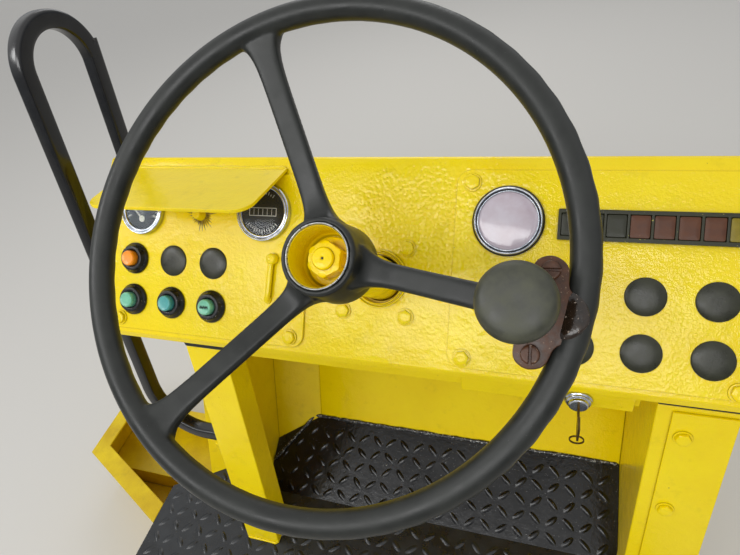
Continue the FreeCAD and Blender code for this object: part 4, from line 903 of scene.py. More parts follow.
@dataclass
class SheetMetal:
    """Base, walls, posts and dash: folded sheets with softened folds and edges."""

    edge: float = 1.1
    thin_edge: float = 0.9
    fold: float = 2.4
    post_fold: float = 1.8
    step_fold: float = 4.5
    weld: float = 2.5
    weld_inset: float = 2.0
    sealing_bead: float = 2.8
    # The toe plate's slope in degrees, how far back its bead starts and how far in it turns.
    toe_slope: float = 25.0
    toe_left: float = 42.0
    toe_corner: float = 59.831797
    # Lean of the post cover in degrees, its bolts' distance from its edge and their places up it.
    cover_lean: float = 14.4
    cover_bolt_inset: float = 13.0
    cover_bolts: tuple[float, ...] = (0.30, 0.64, 0.92)

    def build(self) -> None:
        """Dress every sheet, in the order in which they stand."""
        base = ("side_sills", "cross_sills", "corner_sill", "base_lugs", "step_deck", "step_tread")
        walls = ("bulkhead", "corner_wall", "left_side_wall", "right_side_wall", "left_cowl")
        covers = ("post_cover", "apron", "key_bracket", "rail_feet", "dash_end_plates")
        panels = ("instrument_panel", "lamp_panel", "glare_hood")
        sheets = (
            # nodes, finish, width of the rounding, faces across it
            (base, DUSTY_SHADED_ENAMEL, self.edge, 3),
            (("step_box",), DUSTY_SHADED_ENAMEL, self.step_fold, 5),
            (walls, ENAMEL, self.edge, 3),
            (("left_post", "right_post"), ENAMEL, self.post_fold, 3),
            (covers + panels, ENAMEL, self.thin_edge, 3),
            (("dash_shell",), ENAMEL, self.fold, 3),
            (("mount_pads",), RUBBER, self.post_fold, 3),
            (("floor_plate",), TREAD, self.thin_edge, 3),
            (("toe_plate",), WET_SHADED_TREAD, self.thin_edge, 3),
        )
        for nodes, finish, width, segments in sheets:
            for node in nodes:
                softened(node, finish, width, segments=segments)
        self.welds()
        self.bolts()

    def welds(self) -> None:
        """Beads at the foot of the posts and the bulkhead, and the sealing bead on the toe plate."""
        up = np.array([0.0, 0.0, 1.0])
        inset = self.weld_inset
        yellow = Surface()
        for number, node in enumerate(("left_post", "right_post", "bulkhead")):
            low, high = node_box(node)
            start = np.array([low[0] + inset, low[1], low[2] + 1]) * MM
            end = np.array([high[0] - inset, low[1], low[2] + 1]) * MM
            weld_bead(yellow, start, end, up, self.weld, seed=number)
        yellow.piece("foot_welds", ENAMEL)
        low, high = node_box("toe_plate")
        rise = self.toe_left * math.tan(math.radians(self.toe_slope))
        left = np.array([low[0] + inset, low[1] + self.toe_left, low[2] + rise + 3])
        back, top = high[1] - 1, high[2] + 0.5
        corner = np.array([low[0] + self.toe_corner, back, top])
        right = np.array([high[0] - inset, back, top])
        black = Surface()
        for number, end in enumerate((left, right)):
            weld_bead(black, corner * MM, end * MM, up, self.sealing_bead, seed=11 + number)
        black.piece("toe_sealing_bead", SPECKLED_BEAD)

    def bolts(self) -> None:
        """The three bolts of the post cover."""
        surface = Surface()
        low, high = node_box("post_cover")
        lean = math.radians(self.cover_lean)
        out = np.array([0.0, -math.cos(lean), math.sin(lean)])
        for number, share in enumerate(self.cover_bolts):
            rise = (high[2] - low[2]) * share
            seat = np.array([low[0] + self.cover_bolt_inset, low[1] + rise * math.tan(lean), low[2] + rise])
            hex_head(surface, axes_about(seat * MM, out), spin=0.8 * number)
        surface.piece("cover_bolts", ENAMEL)


@dataclass
class TreadPattern:
    """Raised tears of the chequer plate, in two diagonal directions by turns."""

    pitch: float = 23.5
    length: float = 23.0
    width: float = 9.4
    height: float = 2.1
    sunk: float = 0.2
    rings: int = 3
    sides: int = 12
    border: float = 7.0
    # Slants of the floor's cut corner and of the toe plate, in degrees.
    corner_slant: float = 32.0
    toe_slope: float = 25.0
    # The toe plate's cut corner: how far along it reaches, and how fast it comes in.
    toe_cut: float = 78.0
    toe_cut_slope: float = 0.55

    def tears(self, axes: Axes, centres: np.ndarray, angles: np.ndarray) -> Surface:
        """Gather all the tears of one plate in one surface.

        A tear is a low lens: along it length/2 * q * cos a, across it width/2 * q * sin a, and
        its height falls as height * (1 - q^2), for q from 0 at the middle to 1 at the foot, which
        is sunk a little into the plate.

        Args:
            axes: frame on the plate, z outwards.
            centres: middle of each tear on the plate, in millimetres.
            angles: direction of each tear, in radians.

        Returns:
            The surface with every tear added.
        """
        q = np.linspace(1, 0, self.rings + 1)[None, None, :]
        a = np.linspace(0, FULL_TURN, self.sides, endpoint=False)[None, :, None]
        along = self.length / 2 * q * np.cos(a)
        across = self.width / 2 * q * np.sin(a)
        rise = self.height * (1 - q**2) * np.ones_like(a) - self.sunk
        turn = angles[:, None, None]
        x = centres[:, 0, None, None] + along * np.cos(turn) - across * np.sin(turn)
        y = centres[:, 1, None, None] + along * np.sin(turn) + across * np.cos(turn)
        points = axes.world(np.stack([x, y, np.broadcast_to(rise, x.shape)], axis=-1))
        surface = Surface()
        for tear in points:
            surface.grid(tear, wrap_u=True)
        return surface

    def lattice(self, low: np.ndarray, high: np.ndarray) -> tuple[np.ndarray, np.ndarray]:
        """Centres on a square lattice, and angles that alternate like a chess board.

        Args:
            low: lowest corner of the plate.
            high: its highest corner.

        Returns:
            The centres in millimetres and the angles in radians.
        """
        columns, rows = ((high - low) / self.pitch).astype(int)
        i, j = np.meshgrid(np.arange(columns), np.arange(rows), indexing="ij")
        centres = low + (np.stack([i, j], axis=-1) + 0.5) * self.pitch
        angles = np.where((i + j) % 2 == 0, math.pi / 4, -math.pi / 4)
        angles = angles + np.random.default_rng(3).uniform(-0.09, 0.09, angles.shape)
        return centres.reshape(-1, 2), angles.reshape(-1)

    def build(self) -> None:
        """Put tears on the floor, inside its cut corner, and on the toe plate."""
        low, high = node_box("floor_plate")
        margin = self.length / 2
        centres, angles = self.lattice(low[:2] + self.border, high[:2] - self.border)
        cowl_low, _ = node_box("left_cowl")
        slant = math.tan(math.radians(self.corner_slant))
        inside = centres[:, 1] < cowl_low[1] - margin + (centres[:, 0] - cowl_low[0]) * slant
        toe_low, toe_high = node_box("toe_plate")
        under = (centres[:, 1] > toe_low[1] - margin * 0.6) & (centres[:, 0] > toe_low[0] - margin)
        under &= centres[:, 0] < toe_high[0] + 4
        keep = inside & ~under
        floor = Axes(np.array([0, 0, high[2] * MM]), *np.eye(3))
        self.tears(floor, centres[keep], angles[keep]).piece("floor_tears", TREAD)
        slope = math.radians(self.toe_slope)
        toe = tilted_axes(np.array([0, toe_low[1], toe_low[2]]) * MM, slope)
        run = (toe_high[1] - toe_low[1]) / math.cos(slope)
        centres, angles = self.lattice(np.array([toe_low[0] + 4, 2]), np.array([toe_high[0] - 2, run]))
        cut = np.maximum(0, toe_low[0] + self.toe_cut - centres[:, 0]) * self.toe_cut_slope
        keep = (centres[:, 1] < run - margin * 0.8 - cut) & (centres[:, 1] > 8)
        self.tears(toe, centres[keep], angles[keep]).piece("toe_tears", WET_SHADED_TREAD)


# The face and what it carries


class DialKind(Enum):
    """What a round instrument shows."""

    POINTER = "pointer"
    COUNTER = "counter"


@dataclass
class RoundInstrument:
    """A round instrument: a stepped chrome ring, dial, print and glass."""

    name: str
    x: float
    row: float
    bezel: float
    dial: Finish
    kind: DialKind
    height: float = 7.0
    ring_width: float = 6.0
    dial_level: float = 3.6
    hub_drop: float = 10.5
    needle: float = 2.35
    ticks: int = 17

    def build(self, face: Axes, nodes: tuple[str, ...]) -> None:
        """Build the instrument on the face.

        The glass rises above its edge with 1 - r^2, for r the share of its radius.

        Args:
            face: frame of the instrument face.
            nodes: CAD nodes that its ring stands for.
        """
        axes = face.moved(self.x, self.row, PANEL)
        outer = self.bezel / 2
        inner = outer - self.ring_width
        groove = outer - self.ring_width * 0.5
        level, height = self.dial_level, self.height
        profile = [
            (inner - 0.8, level),
            (inner - 0.2, height - 1.6),
            (inner + 0.9, height - 0.9),
            (groove - 0.5, height - 1.3),
            (groove, height - 2.2),
            (groove + 0.6, height - 0.4),
            (outer - 1.0, height),
            (outer, height - 1.6),
            (outer, 0.0),
            (outer - CASE_INSET, 0.0),
            (outer - CASE_INSET, -CASE_DEPTH),
            (0.0, -CASE_DEPTH),
        ]
        turned_piece(f"{self.name}_ring", profile, axes, CHROME, nodes, soft=0.6, segments=112)
        profile = [(0, level - 1), (inner, level - 1), (inner - 0.4, level), (0, level)]
        turned_piece(f"{self.name}_dial", profile, axes, self.dial)
        marks = Surface()
        if self.kind is DialKind.POINTER:
            self.add_pointer(marks, axes, inner)
        else:
            self.add_counter(marks, axes, inner)
        marks.piece(f"{self.name}_print", DIAL_WHITE)
        share, rim = np.linspace(1, 0, 9), inner - 0.4
        top = np.stack([share * rim, height - 1.9 + 0.9 * (1 - share**2)], axis=-1)
        profile = np.concatenate([[(0.0, height - 2.4), (rim, height - 2.4)], top])
        turned_piece(f"{self.name}_glass", profile, axes, GLASS)

    def add_pointer(self, marks: Surface, axes: Axes, inner: float) -> None:
        """Add a fan of ticks, a low hub and a needle.

        Args:
            marks: where they are added.
            axes: frame on the panel.
            inner: radius of the dial.
        """
        pivot = axes.moved(0, -self.hub_drop)
        for number, angle in enumerate(np.linspace(-0.12, 1.12, self.ticks) * math.pi):
            start, width = (0.70, 1.2) if number % 4 == 0 else (0.82, 0.7)
            self.add_bar(marks, axes.turned(angle), inner * start, inner * 0.93, width)
        self.add_bar(marks, pivot.turned(self.needle), 0.0, inner * 0.9, 1.2)
        level = self.dial_level
        marks.turn(rounded([(4.0, level - 0.2), (4.0, level + 0.6), (0, level + 0.7)], 0.3), pivot, 40)

    def add_counter(self, marks: Surface, axes: Axes, inner: float) -> None:
        """Add the frame of a counter window with its plain cells, and two short scales.

        Args:
            marks: where they are added.
            axes: frame on the panel.
            inner: radius of the dial.
        """
        half, rise = inner * 0.62, inner * 0.16
        for side in (-1, 1):
            self.add_bar(marks, axes.moved(0, side * rise), -half, half, 0.7)
            self.add_bar(marks, axes.moved(side * half, 0).turned(math.pi / 2), -rise, rise, 0.7)
        for cell in range(1, 6):
            wall = axes.moved(-half + cell * half / 3, 0).turned(math.pi / 2)
            self.add_bar(marks, wall, -rise * 0.8, rise * 0.8, 0.5)
        scales = (
            # first and last half turn, ticks, where they start and end, every which is long, width
            (1.22, 1.78, 13, 0.74, 0.84, 0.90, 3, 0.6),
            (0.30, 0.70, 9, 0.72, 0.80, 0.86, 2, 0.7),
        )
        for first, last, count, start, short, tall, every, width in scales:
            for number, angle in enumerate(np.linspace(first, last, count) * math.pi):
                end = short if number % every else tall
                self.add_bar(marks, axes.turned(angle), inner * start, inner * end, width)

    def add_bar(self, surface: Surface, axes: Axes, start: float, end: float, width: float) -> None:
        """Add a thin raised bar along the local x axis, on the dial.

        Args:
            surface: where the bar is added.
            axes: frame whose x is the bar's direction.
            start: where it starts.
            end: where it ends.
            width: its width.
        """
        half, foot, top = width / 2, self.dial_level - 0.2, self.dial_level + 0.15
        ring = np.array([(-half, foot), (half, foot), (half, top), (-half, top)])
        points = np.stack([np.insert(ring, 0, reach, axis=1) for reach in (start, end)])
        surface.grid(axes.world(points), wrap_v=True, caps=True)


@dataclass
class StopLamp:
    """Round warning lamp with a stepped chrome ring and a low domed lens."""

    x: float = 81.8
    row: float = 153.6
    bezel: float = 68.3
    ring_width: float = 6.4
    foot: float = 3.0
    rim: float = 4.9
    dome: float = 1.6

    def build(self, face: Axes) -> None:
        """Build the ring, a dark rubber ring in its groove as painted shade, its dark skirt and the lens.

        The lens stands at the rim's level plus the dome's height times 1 - (r/R)^2, and an
        exponential draws its edge down.

        Args:
            face: frame of the instrument face.
        """
        axes = face.moved(self.x, self.row, PANEL)
        outer = self.bezel / 2
        inner = outer - self.ring_width
        profile = [
            (inner, 3.0),
            (inner + 0.1, 6.0),
            (inner + 0.8, 6.5),
            (inner + 1.5, 5.9),
            (inner + 1.7, 3.6),
            (inner + 2.3, 3.6),
            (inner + 2.7, 6.6),
            (inner + 3.4, 7.6),
            (outer - 1.9, 6.6),
            (outer - 1.5, 4.0),
            (outer - 1.5, 0.0),
            (outer - CASE_INSET, 0.0),
            (outer - CASE_INSET, -CASE_DEPTH),
            (0.0, -CASE_DEPTH),
        ]
        turned_piece("stop_lamp_ring", profile, axes, CHROME, ("stop_lamp_bezel",), soft=0.35, segments=128)
        # Painted shade: a dark rubber ring lines the groove's floor, darker than the chrome round it.
        profile = [(inner + 1.55, 3.5), (inner + 2.45, 3.5), (inner + 2.6, 5.0), (inner + 1.5, 5.0)]
        turned_piece("stop_lamp_groove_shade", profile + profile[:1], axes, RUBBER, closed=True)
        profile = [(outer - 1.6, 0), (outer, 0), (outer, 3.0), (outer - 1.6, 4.6), (outer - 1.6, 0)]
        turned_piece("stop_lamp_skirt", profile, axes, GUARD_PLASTIC, soft=0.4, closed=True)
        radius = np.linspace(1, 0, 40) * (inner + 0.1)
        dome = self.rim + self.dome * (1 - (radius / inner) ** 2) - 0.5 * np.exp(radius - inner)
        profile = np.concatenate([[(0.0, self.foot), (inner, self.foot)], np.stack([radius, dome], axis=-1)])
        turned_piece("stop_lamp_dome", profile, axes, LAMP_ACRYLIC, ("stop_lamp_lens",), segments=128)


@dataclass
class PushButtons:
    """Push buttons in their guards, one of them with a raised heater mark."""

    # The first column and row, and the steps from one to the next.
    column: float = -361.1
    pitch: float = 55.7
    row: float = 42.1
    rise: float = 50.6
    # Diameters of the guard's foot, its collar and the cap, and how far the cap stands out.
    guard: float = 38.2
    collar: float = 29.5
    cap: float = 18.4
    proud: float = 15.6
    teeth: int = 5
    tooth_width: float = 2.24
    tooth_rise: float = 3.6

    def place(self, face: Axes, column: int, row: int) -> Axes:
        """Frame on the panel at a button."""
        return face.moved(self.column + column * self.pitch, self.row + row * self.rise, PANEL)

    def build(self, face: Axes) -> None:
        """Build guards and caps, and the mark on one cap.

        Args:
            face: frame of the instrument face.
        """
        caps = (
            (ORANGE_CAP, "orange_cap", ((0, 1),)),
            (GREEN_CAP, "green_caps", ((0, 0), (2, 0))),
            (TEAL_CAP, "teal_cap", ((1, 0),)),
        )
        guards = Surface()
        for finish, node, spots in caps:
            surface = Surface()
            for spot in spots:
                axes = self.place(face, *spot)
                guards.turn(self.guard_profile(), axes, 80)
                surface.turn(self.cap_profile(), axes, 72)
            surface.piece(f"{node}_moulding", finish, replaces=(node,))
        guards.piece("button_guard_rings", GUARD_PLASTIC, replaces=("button_guards",))
        mark = Surface()
        self.add_mark(mark, self.place(face, 2, 0))
        mark.piece("heater_mark", GUARD_PLASTIC)

    def guard_profile(self) -> np.ndarray:
        """Work out a guard ring: wide foot, sloping shoulder and a thick collar round the cap.

        Returns:
            The profile, with its corners rounded.
        """
        outer, collar, hole = self.guard / 2, self.collar / 2, self.cap / 2 + 0.6
        stem = 10.8
        profile = [(0, -CASE_DEPTH), (stem, -CASE_DEPTH), (stem, 0), (outer, 0), (outer, 2.4)]
        profile += [(collar + 2.0, 4.6), (collar, 9.0), (hole + 1.0, 9.0), (hole, 7.8)]
        return rounded(profile + [(hole, 1.0), (0, 1.0)], 1.1)

    def cap_profile(self) -> np.ndarray:
        """Work out a cap with a raised soft edge and a dished top.

        Returns:
            The profile, with its corners rounded.
        """
        cap, top = self.cap / 2, self.proud
        profile = [(0, 1.2), (cap, 1.2), (cap, top - 1.8), (cap - 1.3, top), (cap - 3.0, top - 0.5)]
        profile += [(cap * 0.4, top - 0.7), (0, top - 0.75)]
        return rounded(profile, 1.2)

    def add_mark(self, surface: Surface, axes: Axes) -> None:
        """Add a zigzag as a thin rod on the cap, whose height runs up and down once a tooth.

        Args:
            surface: where the mark is added.
            axes: frame on the panel at the button.
        """
        step = np.linspace(0, 2 * self.teeth, 24 * self.teeth + 1)
        across = (step - self.teeth) * self.tooth_width / 2
        rise = self.tooth_rise * (0.5 - np.abs(step % 2 - 1))
        path = np.stack([across, rise, np.full_like(step, self.proud - 0.5)], axis=-1)
        rod = superellipse(0.38 * MM, 0.40 * MM, 2.0, 8)
        surface.grid(carried(axes.world(path), rod, axes.z), wrap_v=True, caps=True)


@dataclass
class BlankingPlugs:
    """Snap-in plugs that close the unused holes."""

    left: float = 36.7
    right: float = 35.2
    # The first column and row, and the steps from one to the next.
    column: float = 149.4
    pitch: float = 57.2
    row: float = 38.1
    rise: float = 51.7
    columns: int = 4
    grip: float = 2.4
    height: float = 3.0

    def build(self, face: Axes, buttons: PushButtons) -> None:
        """Build the two plugs beside the buttons and the eight on the lamp panel.

        Args:
            face: frame of the instrument face.
            buttons: the push buttons, whose upper row two plugs share.
        """
        plugs = Surface()
        for column in (1, 2):
            self.add_plug(plugs, buttons.place(face, column, 1), self.left)
        for column in range(self.columns):
            for row in range(2):
                x, up = self.column + column * self.pitch, self.row + row * self.rise
                self.add_plug(plugs, face.moved(x, up, PANEL), self.right)
        plugs.piece("blanking_plug_mouldings", PLUG_NYLON, replaces=("blanking_plugs",))

    def add_plug(self, surface: Surface, axes: Axes, diameter: float) -> None:
        """Add a plug: a grip behind the panel, and a low dome that rolls over at its edge.

        The dome's height falls with the fourth power of the share of its radius.

        Args:
            surface: where the plug is added.
            axes: frame on the panel.
            diameter: diameter of the rim.
        """
        outer = diameter / 2
        inner = outer - self.grip
        share = np.linspace(0.985, 0, 18)
        dome = np.stack([outer * share, 1.0 + (self.height - 1.0) * (1 - share**4)], axis=-1)
        edge = np.array([(0, -9), (inner, -9), (inner, 0), (outer, 0), (outer, 0.7)])
        surface.turn(np.concatenate([edge, dome]), axes, 72)


@dataclass
class WarningStrip:
    """Long frame with a row of small lenses."""

    x: float = 226.6
    row: float = 152.3
    cells: int = 10
    pitch: float = 19.5
    lens_width: float = 17.0
    lens_height: float = 21.0
    lens_top: float = 5.1

    def build(self, face: Axes) -> None:
        """Round the frame's edges and build each lens as a low pillow.

        Args:
            face: frame of the instrument face.
        """
        softened("strip_frame", FRAME_PLASTIC, 0.7)
        kinds = (
            ("blank_lenses", SMOKED, (0, 1, 2, 9)),
            ("red_lenses", RED_ACRYLIC, (3, 4, 5, 6)),
            ("amber_lenses", AMBER_ACRYLIC, (7, 8)),
        )
        for node, finish, cells in kinds:
            surface = Surface()
            for cell in cells:
                middle = (cell - (self.cells - 1) / 2) * self.pitch
                self.add_lens(surface, face.moved(self.x + middle, self.row, PANEL))
            surface.piece(f"{node}_moulding", finish, replaces=(node,))

    def add_lens(self, surface: Surface, axes: Axes) -> None:
        """Add a flat lens: sections shrink only at its top edge, as a squarish superellipse.

        Args:
            surface: where the lens is added.
            axes: frame on the panel, at the middle of the cell.
        """
        wide, high, top = self.lens_width / 2 - 0.3, self.lens_height / 2 - 0.3, self.lens_top
        levels = ((2.0, 1.0), (top - 0.35, 1.0), (top - 0.1, 0.985), (top, 0.95), (top, 0.5), (top, 0.02))
        rings = [
            np.column_stack([superellipse(wide * share, high * share, 14.0, 64), np.full(64, level)])
            for level, share in levels
        ]
        surface.grid(axes.world(np.stack(rings)), wrap_v=True, caps=True)


@dataclass
class FaceFittings:
    """Bolts, latch, light stub and hood weld of the face."""

    latch_x: float = -174.3
    latch_row: float = 80.0
    stub_x: float = -268.5
    stub_row: float = 149.0
    # The weld along the foot of the glare hood: its ends, its row, its level and its radius.
    hood_left: float = -372.5
    hood_right: float = -160.5
    hood_row: float = 203.2
    hood_level: float = 1.8
    hood_weld: float = 2.9
    # Flaps of torn paint, and the angle in degrees over which their edges stay sharp.
    petals: int = 56
    petal_edge: float = 20.0

    def build(self, face: Axes) -> None:
        """Build every fitting on the face.

        Args:
            face: frame of the instrument face.
        """
        self.bolts(face)
        self.latch(face.moved(self.latch_x, self.latch_row, PANEL))
        self.stub(face.moved(self.stub_x, self.stub_row, PANEL))
        bead = Surface()
        spots = np.array([(x, self.hood_row, self.hood_level) for x in (self.hood_left, self.hood_right)])
        left, right = face.world(spots)
        weld_bead(bead, left, right, face.z, self.hood_weld, seed=21)
        bead.piece("hood_weld", ENAMEL)

    def bolts(self, face: Axes) -> None:
        """Add painted bolt heads, where the panels and the column's flange are screwed down.

        Args:
            face: frame of the instrument face.
        """
        places = (
            # along the dash, up the face, level of the seat
            (45.5, 190.7, PANEL),
            (45.5, 15.7, PANEL),
            (-17.5, 122.2, 0.0),
            (-15.7, 50.9, 0.0),
            (-85.1, 51.8, 0.0),
            (-146.3, 16.6, PANEL),
            (-380.5, 17.6, PANEL),
            (285.3, 12.5, PANEL),
        )
        surface = Surface()
        for number, (x, row, level) in enumerate(places):
            hex_head(surface, face.moved(x, row, level), spin=0.7 * number)
        surface.piece("face_bolts", ENAMEL)

    def latch(self, axes: Axes) -> None:
        """Build the latch: a bent rod off the panel, with an eye at its pivot and a turned-in foot.

        The rod's middle runs straight between its corners, and dips to the panel at its foot.

        Args:
            axes: frame on the panel, at the middle of the rod.
        """
        corners = np.array([(3.4, 23.0), (2.2, 14.0), (0.4, -18.0), (-1.0, -25.0)])
        share = np.linspace(0, 3, 61)
        x, up = (np.interp(share, range(4), corners[:, k]) for k in (0, 1))
        path = np.stack([x, up, 4.4 - 1.8 * np.clip(share - 2.3, 0, 1)], axis=-1)
        section = superellipse(3.1 * MM, 2.7 * MM, 2.6, 20)
        rod = Surface()
        rod.grid(carried(axes.world(path), section, axes.z), wrap_v=True, caps=True)
        foot = rounded([(0, 0), (4.6, 0), (4.2, 2.0), (2.8, 3.0), (0, 3.2)], 0.8)
        rod.turn(foot, axes.moved(-1.0, -24.0), 40)
        rod.piece("latch_rod", ENAMEL, replaces=("latch_bar",))
        eye = [(0, 0), (6.2, 0), (6.2, 6.6), (5.0, 8.6), (3.0, 9.2), (2.4, 8.4), (0, 8.2)]
        pivot = axes.moved(3.4, 22.5)
        turned_piece("latch_pivot", eye, pivot, ENAMEL, ("latch_pin",), soft=0.9, segments=48)

    def stub(self, axes: Axes) -> None:
        """Build the light's stub in a star of torn paint.

        The paint's edge is at a radius that jumps with the angle, and its flaps lift towards
        the stub with the square of the share of the way.

        Args:
            axes: frame on the panel, at the middle of the stub.
        """
        post = [(0, 0), (7.6, 0), (6.8, 5), (5.2, 11), (4.0, 12), (0, 11.2)]
        turned_piece("panel_light_post", post, axes, ENAMEL, ("panel_light_stub",), soft=1.2, segments=40)
        random = np.random.default_rng(7)
        odd = np.arange(self.petals) % 2
        reach = 10.0 + random.uniform(2.0, 12.0, self.petals) * odd
        lift = random.uniform(0.8, 3.2, self.petals)
        share, hole = np.linspace(0, 1, 7)[None, :], 6.4
        angle = np.linspace(0, FULL_TURN, self.petals, endpoint=False)[:, None]
        radius = hole + (reach[:, None] - hole) * share
        top = polar(angle, radius, 0.25 + lift[:, None] * (1 - share) ** 2)
        foot = top[:, ::-1] * np.array([1, 1, 0]) + np.array([0, 0, -0.2])
        torn = Surface()
        torn.grid(axes.world(np.concatenate([top, foot], axis=1)), wrap_u=True, wrap_v=True)
        torn.piece("torn_paint", TORN_ENAMEL, sharp=math.radians(self.petal_edge))


# Column, wheel and knob


@dataclass
class Column:
    """Column tube, its collar with two thin lips, its flange and bushes.

    The tube's foot and top are measured along the steering axis from the wheel's middle plane.
    """

    tube: float = 44.0
    bore: float = 36.0
    collar_outer: float = 61.0
    collar_inner: float = 52.0
    foot: float = -242.4
    top: float = -68.3
    collar_at: tuple[float, float] = (-46.1, 88.9)

    def build(self, face: Axes, wheel: Axes) -> None:
        """Build the column about the steering axis and its collar on the face.

        Args:
            face: frame of the instrument face.
            wheel: frame of the steering hinge.
        """
        outer, inner = self.tube / 2, self.bore / 2
        profile = [(inner, self.foot), (outer, self.foot), (outer, self.top), (inner, self.top)]
        profile.append((inner, self.foot))
        turned_piece("column_sleeve", profile, wheel, ENAMEL, ("column_tube",), soft=1.2, closed=True)
        outer, inner = self.collar_outer / 2, self.collar_inner / 2
        profile = [
            (inner, -2.0),
            (inner, 4.6),
            (inner + 1.0, 5.0),
            (inner + 1.4, 2.4),
            (outer - 1.6, 2.4),
            (outer - 1.0, 4.4),
            (outer, 3.8),
            (outer, 0.0),
            (inner, -2.0),
        ]
        centre = face.moved(*self.collar_at)
        turned_piece("collar_lips", profile, centre, ENAMEL, ("column_collar",), soft=0.6, closed=True)
        softened("column_flange", DUSTY_SHADED_ENAMEL, 0.8)
        softened("column_bushes", BRONZE, 0.4)


